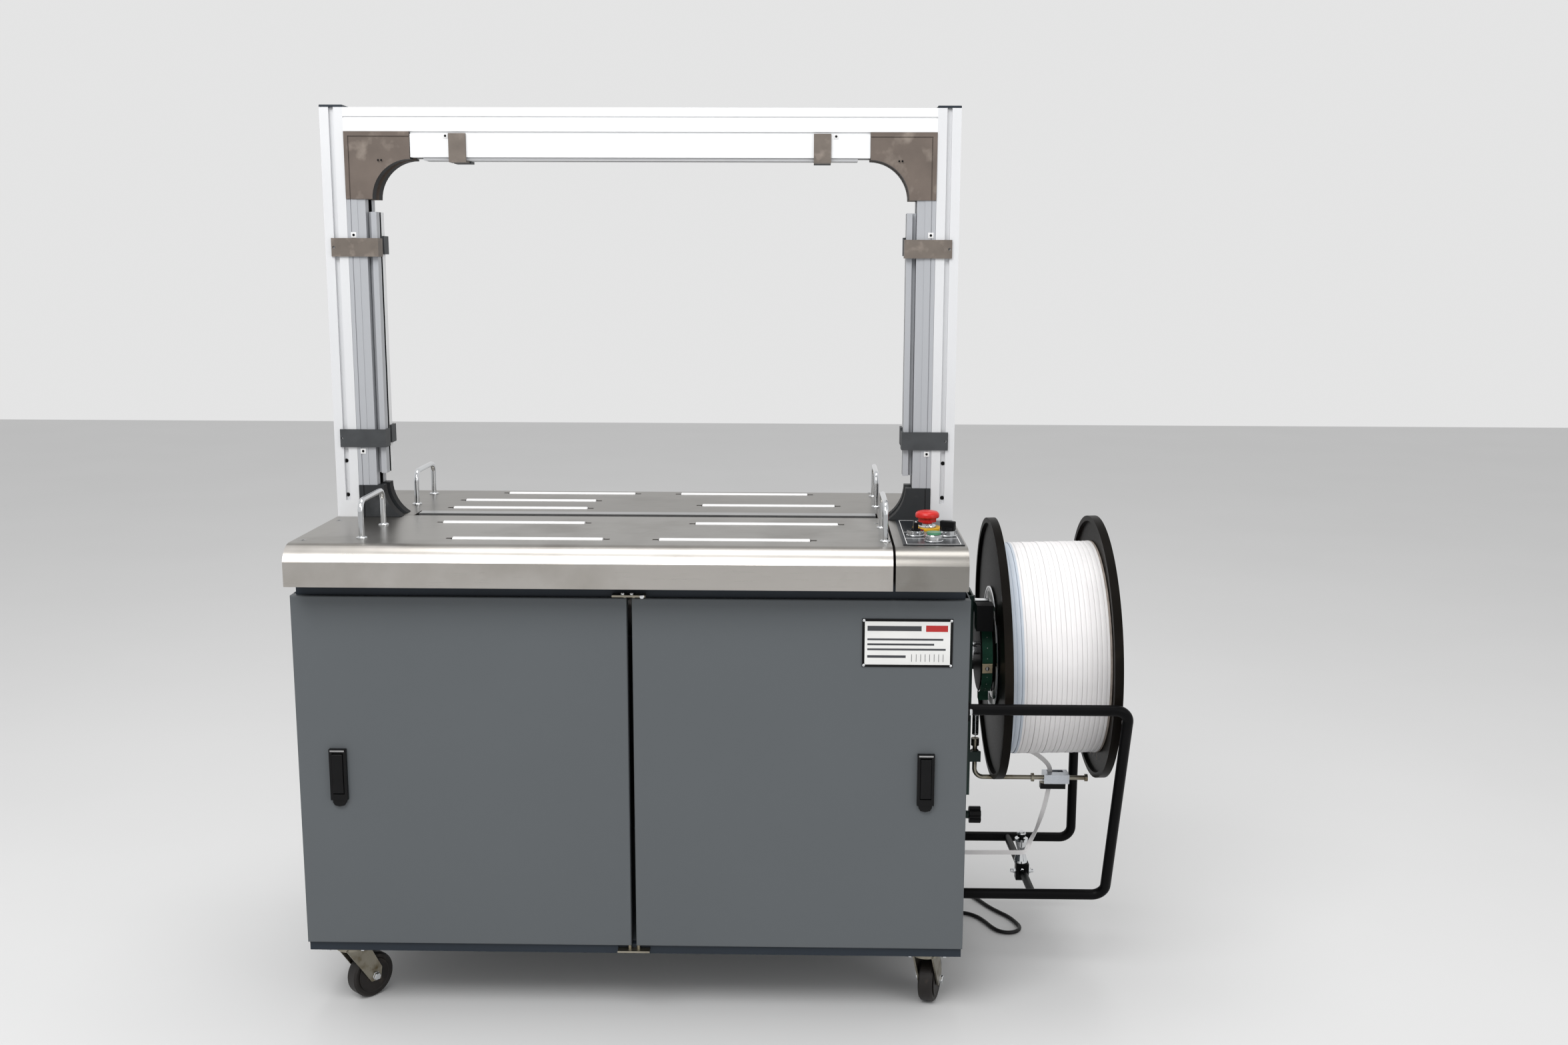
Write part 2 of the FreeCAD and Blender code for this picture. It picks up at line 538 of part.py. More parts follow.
def rear_table_cover():
    outer = cover_profile("RearSkin", 1, "0", "-10", "-Q.table_half", "Q.table_half")
    inner = cover_profile("RearHollow", 1, "Q.sheet", "-15", "-Q.table_half + Q.sheet",
                          "Q.table_half - Q.sheet")
    cuts = [box("rear_slit", ("-Q.slit_half", "-20", "Q.table_top - 10"),
                ("Q.slit_half", "Q.slit_back", "Q.table_top + 1"))]
    for side in (-1, 1):
        name = "right" if side > 0 else "left"
        cuts.append(box("rear_post_notch_" + name, *sided(
            side, (POST_IN + " - 0.5", "-20", "Q.lip_bottom - 2"), ("Q.table_half + 1", BACK + " + 0.5",
                                                                    "Q.table_top + 1"))))
    holes, blocks = roller_slots("rear", 1)
    for x in handle_places():
        holes.append(rod("rear_handle_hole_%d" % len(holes), "Q.handle_r + 0.1", "Q.sheet + 4",
                         (x, "Q.handle_in", "Q.table_top - Q.sheet - 2")))
        holes.append(rod("rear_handle_hole_%d" % len(holes), "Q.handle_r + 0.1", "Q.sheet + 4",
                         (x, "Q.handle_out", "Q.table_top - Q.sheet - 2")))
    plate = cut("rear_cover_plate", outer, inner, *(cuts + holes))
    node("rear_table_cover", fuse("rear_cover_whole", plate, *blocks))


def handle_places():
    return ("-Q.handle_x_left", "Q.handle_x_right")


def guard_handles():
    """Four bent rods that keep the carton clear of the corners."""
    pieces = []
    top = size("table_top") + size("handle_h") - size("handle_r")
    low = size("table_top") - size("sheet") - 6
    bend = size("handle_bend")
    for x in (-size("handle_x_left"), size("handle_x_right")):
        for sign in (-1, 1):
            a, b = sign * size("handle_in"), sign * size("handle_out")
            spots = [Vector(x, a, low), Vector(x, a, top), Vector(x, b, top), Vector(x, b, low)]
            pieces.append(feature("handle_%d" % len(pieces),
                                  tube_along(spots, [bend, bend], size("handle_r"))))
    node("guard_handles", group("handle_set", *pieces))


def table_rollers():
    for index, (x, y) in enumerate(ROLLERS):
        owner = body("Roller%s" % "ABCDEFGHI"[index])
        half = "Q.roller_l / 2"
        end = "Q.roller_l / 2 + Q.stub_l"
        points = [("-(%s)" % end, "0"), ("-(%s)" % end, "Q.stub_r"), ("-(%s)" % half, "Q.stub_r"),
                  ("-(%s)" % half, "Q.roller_r - 1"), ("-(%s) + 1" % half, "Q.roller_r"),
                  (half + " - 1", "Q.roller_r"), (half, "Q.roller_r - 1"), (half, "Q.stub_r"),
                  (end, "Q.stub_r"), (end, "0")]
        sk = outline(owner, owner.Name + "Sketch", "XY_Plane", points)
        revolve(owner, sk, "X_Axis")
        node("table_roller_%d" % (index + 1), owner,
             (str(x), str(y), "Q.table_top + Q.roller_up - Q.roller_r"))


# ---------------------------------------------------------------- controls

SWITCHES = (("Q.stop_x", "-Q.stop_y"), ("Q.toggle_x", "-Q.dial_y"), ("Q.dial_x", "-Q.dial_y"),
            ("Q.start_x", "-Q.start_y"))
PANEL_TOP = "Q.table_top + Q.panel_t"


def switch_holes(name, radius, low, high):
    return [rod("%s_%d" % (name, index), radius, "(%s) - (%s)" % (high, low), (x, y, low))
            for index, (x, y) in enumerate(SWITCHES)]


def control_box():
    outer = cover_profile("BoxSkin", -1, "0", "-Q.box_back", "Q.box_left", "Q.table_half")
    inner = cover_profile("BoxHollow", -1, "Q.sheet", "-Q.box_back - Q.sheet", "Q.box_left + Q.sheet",
                          "Q.table_half - Q.sheet")
    holes = switch_holes("box_hole", "Q.bezel_r - 2", "Q.table_top - 5", "Q.table_top + 1")
    node("control_box", cut("control_box_cut", outer, inner, *holes))


def control_plate():
    """The legend plate with the four switch bodies fixed in it."""
    stock = box("panel", ("Q.panel_left", "-Q.panel_front", "Q.table_top"),
                ("Q.panel_right", "-Q.panel_back", PANEL_TOP))
    disc = rod("stop_disc", "Q.disc_r", "Q.disc_h", (SWITCHES[0][0], SWITCHES[0][1], PANEL_TOP))
    pieces = [stock, disc]
    for index, (x, y) in enumerate(SWITCHES):
        height = "Q.disc_h + 2" if index == 0 else "Q.bezel_h"
        pieces.append(rod("bezel_%d" % index, "Q.bezel_r", height, (x, y, PANEL_TOP)))
        pieces.append(rod("bezel_tail_%d" % index, "Q.bezel_r - 2.3", "30", (x, y, PANEL_TOP + " - 30")))
    bores = switch_holes("bezel_bore", "Q.bezel_bore", PANEL_TOP + " - 24", PANEL_TOP + " + 20")
    node("control_plate", cut("control_plate_cut", fuse("control_plate_stock", *pieces), *bores))


def switches():
    x, y = SWITCHES[0]
    stem = rod("stop_stem", "Q.shaft_r", "20", (x, y, PANEL_TOP + " - 8"))
    skirt = rod("stop_skirt", "Q.stop_body_r", "15",
                (x, y, PANEL_TOP + " + Q.disc_h + 2 + Q.stop_travel + Q.free_gap"))
    head = rod("stop_head", "Q.cap_r", "8", (x, y, PANEL_TOP + " + Q.disc_h + Q.stop_travel + 15"))
    whole = fuse("stop_whole", stem, skirt, head)
    rounded = soften("stop_round", whole, 3.2, lambda middle,
                     edge: abs(edge.Length - 2 * math.pi * size("cap_r")) < 0.5)
    node("estop_button", rounded)

    x, y = SWITCHES[1]
    stem = rod("toggle_stem", "Q.shaft_r", "Q.bezel_h + 12", (x, y, PANEL_TOP + " - 12"))
    blade = box("toggle_blade", (x + " - 3.4", y + " - 11", PANEL_TOP + " + Q.bezel_h + Q.free_gap"),
                (x + " + 3.4", y + " + 11", PANEL_TOP + " + Q.bezel_h + 14"))
    hub = rod("toggle_hub", "Q.shaft_r", "3", (x, y, PANEL_TOP + " + Q.bezel_h - 1"))
    node("toggle_lever", fuse("toggle_whole", stem, hub, soften(
        "toggle_soft", blade, 1.5, lambda middle, edge: middle.z > val(PANEL_TOP + " + Q.bezel_h + 13.9"))))

    x, y = SWITCHES[2]
    stem = rod("dial_stem", "Q.shaft_r", "24", ("0", "0", PANEL_TOP + " - 12"))
    hub = rod("dial_hub", "11", "5", ("0", "0", PANEL_TOP + " + Q.bezel_h + Q.free_gap"))
    blade = box("dial_blade", ("-3.8", "-12", PANEL_TOP + " + Q.bezel_h + Q.free_gap"),
                ("3.8", "12", PANEL_TOP + " + Q.bezel_h + 15"))
    whole = fuse("dial_whole", stem, hub, soften(
        "dial_soft", blade, 1.8, lambda middle, edge: middle.z > val(PANEL_TOP + " + Q.bezel_h + 14.9")))
    node("selector_knob", whole, (x, y, "0"), Rotation(Vector(0, 0, 1), 60))

    x, y = SWITCHES[3]
    stem = rod("start_stem", "Q.shaft_r", "Q.bezel_h + 10", (x, y, PANEL_TOP + " - 10"))
    head = rod("start_head", "11", "3.5", (x, y, PANEL_TOP + " + Q.bezel_h + Q.start_travel - 0.5"))
    node("start_button", fuse("start_whole", fuse("start_neck", stem, rod(
        "start_neck_rod", "Q.shaft_r", "Q.start_travel + 1", (x, y, PANEL_TOP + " + Q.bezel_h - 0.5"))),
        head))


# ---------------------------------------------------------------- cabinet

def base_frame():
    """Welded ring under the cabinet with the four caster plates and their races."""
    ring = box("base_ring", ("-Q.cab_half + 2", "-Q.cab_front - 15", "Q.base_low"),
               ("Q.cab_half - 2", "Q.cab_back - 2", "Q.door_low - Q.free_gap"))
    hollow = box("base_hollow", ("-Q.cab_half + 2 + Q.rail_w", "-Q.cab_front - 15 + Q.rail_w",
                                 "Q.base_low - 1"),
                 ("Q.cab_half - 2 - Q.rail_w", "Q.cab_back - 2 - Q.rail_w", "Q.door_low + 1"))
    notch = box("base_notch", ("-Q.hinge_w", "-Q.cab_front - 16", "Q.door_low - 6 - Q.hinge_t"),
                ("Q.hinge_w", "-Q.cab_front - Q.band_set - 4", "Q.door_low + 1"))
    pieces = [cut("base_cut", ring, hollow, notch)]
    for tag, x, y in caster_places():
        half = "Q.plate_l / 2"
        plate = box("caster_plate_" + tag, ("%s - %s" % (x, half), "%s - %s" % (y, half),
                                            "Q.base_low - Q.plate_t"),
                    ("%s + %s" % (x, half), "%s + %s" % (y, half), "Q.base_low"))
        race = rod("caster_race_" + tag, "Q.race_r - 3", "4.2", (x, y, "Q.base_low - Q.plate_t - 4"))
        seat = rod("caster_seat_" + tag, "Q.king_r + Q.run_play", "12",
                   (x, y, "Q.base_low - Q.plate_t - 5"))
        pieces.append(cut("caster_mount_" + tag, fuse("caster_top_" + tag, plate, race), seat))
    node("base_frame", fuse("base_whole", *pieces))


def caster_places():
    return (("front_left", "-Q.caster_x", "-Q.caster_y"), ("front_right", "Q.caster_x", "-Q.caster_y"),
            ("rear_left", "-Q.caster_x", "Q.caster_y"), ("rear_right", "Q.caster_x", "Q.caster_y"))


SWIVEL = {"front_left": -40, "front_right": -18, "rear_left": 25, "rear_right": -35}


def casters():
    """Swivel fork and wheel, drawn with the swivel axis at X 0, Y 0 and the wheel behind it."""
    race_low = "Q.base_low - Q.plate_t - 4 - Q.free_gap - Q.race_h"
    for tag, x, y in caster_places():
        race = rod("fork_race_" + tag, "Q.race_r", "Q.race_h", ("0", "0", race_low))
        king = rod("fork_king_" + tag, "Q.king_r", "Q.race_h + 8", ("0", "0", race_low))
        legs = []
        for side, low_x in ((0, "Q.wheel_w / 2 + 1.5"), (1, "-Q.wheel_w / 2 - 1.5 - Q.leg_t")):
            owner = body("Leg%d%s" % (side, tag.replace("_", "")))
            points = [("-Q.race_r + 4", race_low + " + 2"), ("Q.trail - 9", "Q.wheel_r - 8"),
                      ("Q.trail + 9", "Q.wheel_r - 8"), ("Q.trail + 12", "Q.wheel_r + 12"),
                      ("Q.race_r - 3", race_low + " + 2")]
            sk = outline(owner, owner.Name + "Sketch", "YZ_Plane", points, {}, low_x)
            pad(owner, sk, "Q.leg_t")
            legs.append(owner)
        bridge = box("fork_bridge_" + tag, ("-Q.wheel_w / 2 - 1.5 - Q.leg_t", "-Q.race_r + 5", race_low),
                     ("Q.wheel_w / 2 + 1.5 + Q.leg_t", "Q.race_r - 4", race_low + " + 3.5"))
        axle = rod("fork_axle_" + tag, "Q.wheel_bore - Q.run_play", "Q.wheel_w + 3 + 2 * Q.leg_t + 8",
                   ("-Q.wheel_w / 2 - 1.5 - Q.leg_t - 4", "Q.trail", "Q.wheel_r"), "x")
        turn = Rotation(Vector(0, 0, 1), SWIVEL[tag])
        node("caster_fork_" + tag, fuse("fork_" + tag, race, king, bridge, axle, *legs), (x, y, "0"), turn)
        owner = body("Wheel" + tag.replace("_", ""))
        half = "Q.wheel_w / 2"
        points = [("-(%s)" % half, "Q.wheel_bore"), ("-(%s)" % half, "Q.wheel_r - 12"),
                  ("-(%s) + 2" % half, "Q.wheel_r - 10"),
                  ("-(%s) + 1" % half, "Q.wheel_r - 3"), ("-(%s) + 4" % half, "Q.wheel_r"),
                  (half + " - 4", "Q.wheel_r"),
                  (half + " - 1", "Q.wheel_r - 3"), (half + " - 2", "Q.wheel_r - 10"),
                  (half, "Q.wheel_r - 12"),
                  (half, "Q.wheel_bore")]
        sk = outline(owner, owner.Name + "Sketch", "XY_Plane", points)
        revolve(owner, sk, "X_Axis")
        behind = turn.multVec(Vector(0, 1, 0))
        node("caster_wheel_" + tag, owner, ("%s + Q.trail * %.6f" % (x, behind.x),
                                            "%s + Q.trail * %.6f" % (y, behind.y),
                                            "Q.wheel_r"), turn)


def cabinet_shell():
    """Sides, back and floor of the cabinet, open at the front and top."""
    stock = box("shell", ("-Q.cab_half", "-Q.cab_front", "Q.door_low"),
                ("Q.cab_half", "Q.cab_back", "Q.band_low"))
    inside = box("shell_inside", ("-Q.cab_half + Q.wall", "-Q.cab_front - 1", "Q.door_low + Q.wall"),
                 ("Q.cab_half - Q.wall", "Q.cab_back - Q.wall", "Q.band_low + 1"))
    gland_hole = rod("shell_gland_hole", "Q.gland_r - 3 + 0.3", "Q.wall + 4",
                     ("Q.gland_x", "Q.gland_y", "Q.door_low - 2"))
    strap_hole = box("shell_strap_hole", ("Q.cab_half - Q.wall - 3", "Q.guide_y - Q.strap_w",
                                          "Q.guide_z + 2"),
                     ("Q.cab_half + 3", "Q.guide_y + Q.strap_w * 2", "Q.guide_z + 26"))
    node("cabinet_shell", cut("shell_cut", stock, inside, gland_hole, strap_hole))


def top_frame():
    """The recessed band under the table with its cross rails and pillars."""
    front = "-Q.cab_front - Q.band_set - 4"
    stock = box("band", ("-Q.cab_half + Q.band_set", front, "Q.band_low"),
                ("Q.cab_half - Q.band_set", "Q.cab_back - Q.band_set", "Q.lip_bottom"))
    hollow = box("band_hollow", ("-Q.cab_half + Q.band_set + Q.rail_w", front + " + Q.rail_w",
                                 "Q.band_low - 1"),
                 ("Q.cab_half - Q.band_set - Q.rail_w", "Q.cab_back - Q.band_set - Q.rail_w",
                  "Q.lip_bottom + 1"))
    pieces = [cut("band_cut", stock, hollow)]
    end = "Q.cab_half - Q.band_set - Q.rail_w + 1"
    for name, y in (("front", "-52"), ("back", "40")):
        pieces.append(box("cross_rail_" + name, ("-(%s)" % end, y, "Q.band_low"),
                          (end, y + " + 12", "Q.lip_bottom")))
    for tag, x, y in (("a", -500, -160), ("b", -500, 150), ("c", 500, 150), ("d", -500, -215)):
        pieces.append(box("pillar_" + tag, (str(x - 8), str(y - 8), "Q.lip_bottom - 1"),
                          (str(x + 8), str(y + 8), "Q.table_top - Q.sheet - Q.free_gap")))
    node("top_frame", fuse("top_frame_whole", *pieces))


HINGE_Y = "-Q.door_front + Q.pin_in"


def hinge_plates():
    """Plates above and below the meeting edge of the doors, two fixed pins on each."""
    pieces = []
    front = "-Q.door_front - 7"
    rear = "-Q.cab_front - Q.band_set - 4"
    for tag, low, pin_low in (("top", "Q.door_high + 3", "Q.door_high - Q.pin_l + 6"),
                              ("bottom", "Q.door_low - 6 - Q.hinge_t", "Q.door_low - 7")):
        plate = box("hinge_" + tag, ("-Q.hinge_w", front, low), ("Q.hinge_w", rear, low + " + Q.hinge_t"))
        pins = [rod("hinge_pin_%s_%d" % (tag, side + 1), "Q.pin_r", "Q.pin_l",
                    ("%d * Q.pin_x" % side, HINGE_Y, pin_low)) for side in (-1, 1)]
        pieces.append(fuse("hinge_set_" + tag, plate, *pins))
    node("hinge_plates", group("hinge_plate_set", *pieces))


def doors():
    """Folded steel doors turning on pins at the middle, with the latch body on each."""
    for side, name in ((-1, "left"), (1, "right")):
        back = "-Q.door_front + Q.door_t"
        stock = box("door_" + name, *sided(side, ("Q.door_gap", "-Q.door_front", "Q.door_low"),
                                           ("Q.cab_half", back, "Q.door_high")))
        soft = soften("door_soft_" + name, stock, 2.0, lambda middle,
                      edge: middle.y < -size("door_front") + 0.01)
        hollow = box("door_hollow_" + name, *sided(
            side, ("Q.door_gap + Q.stile", "-Q.door_front + Q.door_skin", "Q.door_low + Q.door_skin"),
            ("Q.cab_half - Q.door_skin", back + " + 1", "Q.door_high - Q.door_skin")))
        bores = []
        for end, low in (("top", "Q.door_high - Q.pin_l"), ("bottom", "Q.door_low - 1")):
            bores.append(rod("door_bore_%s_%s" % (name, end), "Q.pin_r + Q.run_play", "Q.pin_l + 2",
                             ("%d * Q.pin_x" % side, HINGE_Y, low)))
        panel = cut("door_panel_" + name, soft, hollow, *bores)
        x = "%d * Q.latch_x" % side
        face = "-Q.door_front - Q.latch_t"
        latch = box("latch_" + name, (x + " - Q.latch_w / 2", face, "Q.latch_low"),
                    (x + " + Q.latch_w / 2", "-Q.door_front - 0.01", "Q.latch_high"))
        pan = box("latch_pan_" + name, (x + " - Q.lever_w / 2 - 0.6", face + " - 1",
                                        "Q.latch_high - 12 - Q.lever_l"),
                  (x + " + Q.lever_w / 2 + 0.6", face + " + Q.lever_t - 1", "Q.latch_high - 6"))
        tab = rod("latch_tab_" + name, "Q.tab_r", "Q.latch_t - 2", (x, "-Q.door_front - 0.01",
                                                                    "Q.latch_low"), "-y")
        latch_body = fuse("latch_body_" + name, cut("latch_cut_" + name, latch, pan), tab)
        node(name + "_door", fuse("door_whole_" + name, panel, latch_body))
        lever = box("lever_" + name, (x + " - Q.lever_w / 2", face + " - 2.5",
                                      "Q.latch_high - 10 - Q.lever_l"),
                    (x + " + Q.lever_w / 2", face + " + Q.lever_t - 2.2", "Q.latch_high - 7.5"))
        lever_face = val("-Q.door_front - Q.latch_t - 2.49")
        node(name + "_latch_handle", soften("lever_soft_" + name, lever, 1.5,
                                            lambda middle, edge: middle.y < lever_face))


def nameplate():
    stock = box("label", ("Q.label_left", "-Q.door_front - Q.label_t - 0.01", "Q.label_low"),
                ("Q.label_right", "-Q.door_front - 0.01", "Q.label_high"))
    node("nameplate", stock)


# ---------------------------------------------------------------- strapping head

def strapping_head():
    """Slide bar under the slit, sealing head, gearbox and drive motor below it."""
    bar = box("slide_bar", ("-Q.slit_half + 3", "9", "Q.table_top - 4"),
              ("Q.slit_half - 3", "Q.slit_back - 1", "Q.table_top + 0.4"))
    post = box("slide_post", ("-120", "12", "Q.table_top - 10"), ("120", "32", "Q.table_top - 3"))
    block = box("head_block", ("-140", "-36", "Q.band_low - 14"), ("140", "36", "Q.table_top - 9"))
    ears = box("head_ears", ("-140", "-50", "Q.lip_bottom"), ("140", "50", "Q.lip_bottom + 6"))
    head = fuse("head_whole", bar, post, block, ears)
    gearbox = box("gearbox", ("-140", "-34", "570"), ("-60", "34", "Q.band_low - 13"))
    motor = rod("motor", "48", "190", ("-61", "0", "628"), "x")
    fins = rod("motor_cap", "40", "30", ("128", "0", "628"), "x")
    node("strapping_head", fuse("strapping_head_whole", head, gearbox, motor, fins))


# ---------------------------------------------------------------- reel

def reel_rotation():
    return Rotation(Vector(0, 1, 0), -size("reel_tilt"))


REEL_AT = ("Q.cab_half + Q.bracket_out", "Q.reel_y", "Q.reel_z")


def reel_bracket():
    """Channel on the cabinet side with the axle, brake block, arm pivot and tension stud."""
    web = box("bracket_web", ("Q.cab_half", "Q.reel_y - Q.bracket_w / 2", "Q.bracket_low"),
              ("Q.cab_half + Q.bracket_out", "Q.reel_y + Q.bracket_w / 2", "Q.bracket_high"))
    inside = box("bracket_inside", ("Q.cab_half - 1", "Q.reel_y - Q.bracket_w / 2 + 3",
                                    "Q.bracket_low - 1"),
                 ("Q.cab_half + Q.bracket_out - 3", "Q.reel_y + Q.bracket_w / 2 - 3", "Q.bracket_high + 1"))
    channel = cut("bracket_channel", web, inside)
    axle = rod("axle", "Q.axle_r", "Q.reel_out - Q.bracket_out + Q.reel_w + 12", ("0", "0", "0"), "x")
    collar = rod("axle_collar", "Q.axle_r + 6", "6", ("-3", "0", "0"), "x")
    spindle = group("spindle", fuse("spindle_set", axle, collar))
    place(spindle, REEL_AT, reel_rotation())
    arm = box("brake_arm", ("Q.cab_half + Q.bracket_out - 1", "Q.reel_y - 84", "Q.bracket_high - 24"),
              ("Q.cab_half + Q.bracket_out + 5", "Q.reel_y", "Q.bracket_high - 6"))
    block = box("brake_block", ("Q.cab_half + Q.bracket_out - 1", "Q.reel_y - 92", "Q.bracket_high - 48"),
                ("Q.cab_half + Q.bracket_out + 27", "Q.reel_y - 58", "Q.bracket_high - 4"))
    pin = rod("brake_pin", "3", "24", ("Q.cab_half + Q.bracket_out - 3", "Q.reel_y - 75",
                                       "Q.bracket_high + 2"), "x")
    lug = box("arm_lug", ("Q.cab_half + Q.bracket_out - 1", "Q.reel_y - 14", "Q.arm_pivot_z - 9"),
              ("Q.cab_half + Q.arm_out + 9", "Q.reel_y - 8", "Q.arm_pivot_z + 9"))
    pivot = rod("arm_pivot", "3.5", "20", ("Q.cab_half + Q.arm_out", "Q.reel_y - 9", "Q.arm_pivot_z"), "y")
    stud = rod("stud", "Q.stud_r", "Q.arm_out - 4", ("Q.cab_half", "Q.reel_y", "Q.knob_z"), "x")
    nut = rod("stud_nut", "7", "5", ("Q.cab_half + Q.bracket_out - 1", "Q.reel_y", "Q.knob_z"), "x")
    node("reel_bracket", group("reel_bracket_set", fuse("reel_bracket_whole", channel, spindle, arm, block,
                                                        pin, lug, pivot),
                               fuse("stud_whole", stud, nut)))


def reel():
    """Spool with brake drum, two flanges and core, and the strap wound on it; X runs out along the axle."""
    start = "Q.reel_out - Q.bracket_out"
    drum = rod("drum", "Q.drum_r", "Q.drum_w", (start + " - Q.drum_w - Q.drum_gap", "0", "0"), "x")
    neck = rod("drum_neck", "Q.drum_r - 12", "Q.drum_gap + 2", (start + " - Q.drum_gap - 1", "0", "0"), "x")
    left = rod("flange_left", "Q.flange_r", "Q.flange_t", (start, "0", "0"), "x")
    core = rod("core", "Q.core_r", "Q.reel_w - 2 * Q.flange_t + 2", (start + " + Q.flange_t - 1", "0", "0"),
               "x")
    core_hollow = rod("core_hollow", "Q.core_r - 4", "Q.reel_w - 2 * Q.flange_t - 20",
                      (start + " + Q.flange_t + 10", "0", "0"), "x")
    right = rod("flange_right", "Q.flange_r", "Q.flange_t", (start + " + Q.reel_w - Q.flange_t", "0", "0"),
                "x")
    hub = rod("hub", "Q.hub_r", "Q.reel_w + Q.drum_w + Q.drum_gap", (start + " - Q.drum_w - Q.drum_gap",
                                                                     "0", "0"), "x")
    bore = rod("hub_bore", "Q.axle_r + Q.run_play", "Q.reel_w + Q.drum_w + Q.drum_gap + 20",
               (start + " - Q.drum_w - Q.drum_gap - 6", "0", "0"), "x")
    shell = cut("core_shell", core, core_hollow)
    rims = []
    for side, edge in (("left", start + " - 5.5"), ("right", start + " + Q.reel_w - 8.5")):
        ring = rod("rim_" + side, "Q.flange_r", "14", (edge, "0", "0"), "x")
        inside = rod("rim_inside_" + side, "Q.flange_r - 9", "16", (edge + " - 1", "0", "0"), "x")
        web = rod("rim_web_" + side, "Q.flange_r - 8", "Q.flange_t", (edge + " + 5.5", "0", "0"), "x")
        rims.append(fuse("rim_whole_" + side, cut("rim_cut_" + side, ring, inside), web))
    whole = cut("reel_whole", fuse("reel_stock", drum, neck, left, shell, right, hub, *rims), bore)
    node("reel_spool", whole, REEL_AT, reel_rotation())
    roll = rod("roll", "Q.roll_r", "Q.roll_w", (start + " + Q.reel_w - Q.flange_t - Q.roll_w - Q.free_gap",
                                                "0", "0"), "x")
    eye = rod("roll_eye", "Q.core_r + Q.free_gap", "Q.roll_w + 4",
              (start + " + Q.reel_w - Q.flange_t - Q.roll_w - 2", "0", "0"), "x")
    node("strap_roll", cut("roll_cut", roll, eye), REEL_AT, reel_rotation())


def brake_band():
    """Friction band round the drum, its ends clamped below."""
    start = "Q.reel_out - Q.bracket_out - Q.drum_w - Q.drum_gap + 1.5"
    outer = rod("band_outer", "Q.drum_r + 0.5 + Q.band_t", "Q.drum_w - 3", (start, "0", "0"), "x")
    inner = rod("band_inner", "Q.drum_r + 0.5", "Q.drum_w + 3", (start + " - 3", "0", "0"), "x")
    clamp = box("band_clamp", (start + " + 1", "-8", "-Q.drum_r - 20"),
                (start + " + Q.drum_w - 4", "8", "-Q.drum_r - 1.5"))
    tie = rod("band_tie", "2.5", "12", (start + " + 0.5", "0", "-Q.drum_r - 13"), "x")
    node("brake_band", fuse("band_whole", cut("band_ring", outer, inner), clamp, tie), REEL_AT,
         reel_rotation())


def stand_points(reach, y_top, z_top, y_low, z_low):
    wall = size("cab_half") + 0.5
    return [Vector(wall, y_top, z_top), Vector(reach, y_top, z_top), Vector(reach, y_low, z_low),
            Vector(wall, y_low, z_low)]


def reel_stand():
    """Two bent tubes round the reel, a bar between them and the guide roller's spindle."""
    reach = out("stand_out") - size("tube_r")
    bend = size("loop_bend")
    loops = []
    for tag, y_top, z_top, y_low, z_low in (
            ("front", -size("front_top_y"), size("front_top_z"), -size("front_low_y"), size("front_low_z")),
            ("rear", size("rear_y"), size("rear_top_z"), size("rear_y"), size("rear_low_z"))):
        spots = stand_points(reach, y_top, z_top, y_low, z_low)
        tube = feature("loop_" + tag, tube_along(spots, [bend, bend], size("tube_r")))
        feet = [box("stand_foot_%s_%s" % (tag, end), ("Q.cab_half", str(y - 15), str(z - 15)),
                    ("Q.cab_half + 3", str(y + 15), str(z + 15)))
                for end, y, z in (("top", y_top, z_top), ("low", y_low, z_low))]
        loops.append(fuse("loop_whole_" + tag, tube, *feet))
    front = Vector(out("cross_out"), -size("front_low_y"), size("front_low_z"))
    rear = Vector(out("cross_out"), size("rear_y"), size("rear_low_z"))
    along = (rear - front).normalize()
    start = front + along * (size("tube_r") - 0.5)
    length = (rear - front).Length - 2 * size("tube_r") + 1
    bar = feature("cross_bar", Part.makeCylinder(size("tube_r") - 2, length, start, along))
    holder = box("guide_holder", ("Q.cab_half + Q.guide_out - 9", "Q.guide_y - 9", "Q.guide_z - 31"),
                 ("Q.cab_half + Q.guide_out + 14", "Q.guide_y + 9", "Q.guide_z - 1"))
    spindle = rod("guide_spindle", "3.8", "Q.guide_h + 14", ("Q.cab_half + Q.guide_out", "Q.guide_y",
                                                             "Q.guide_z - 5"))
    top = rod("guide_top", "7", "5", ("Q.cab_half + Q.guide_out", "Q.guide_y", "Q.guide_z + Q.guide_h + 4"))
    node("reel_stand", group("stand_whole", fuse("cross_whole", bar, holder, spindle, top), *loops))


def guide_roller():
    owner = body("GuideRoller")
    points = [("3.8 + Q.run_play", "0"), ("Q.guide_r + 1", "0"), ("Q.guide_r + 1", "4"),
              ("Q.guide_r - 4", "Q.guide_h / 2"),
              ("Q.guide_r + 1", "Q.guide_h - 4"), ("Q.guide_r + 1", "Q.guide_h"),
              ("3.8 + Q.run_play", "Q.guide_h")]
    sk = outline(owner, "GuideSketch", "XZ_Plane", points)
    revolve(owner, sk, "Z_Axis")
    node("guide_roller", owner, ("Q.cab_half + Q.guide_out", "Q.guide_y", "Q.guide_z + 1"))


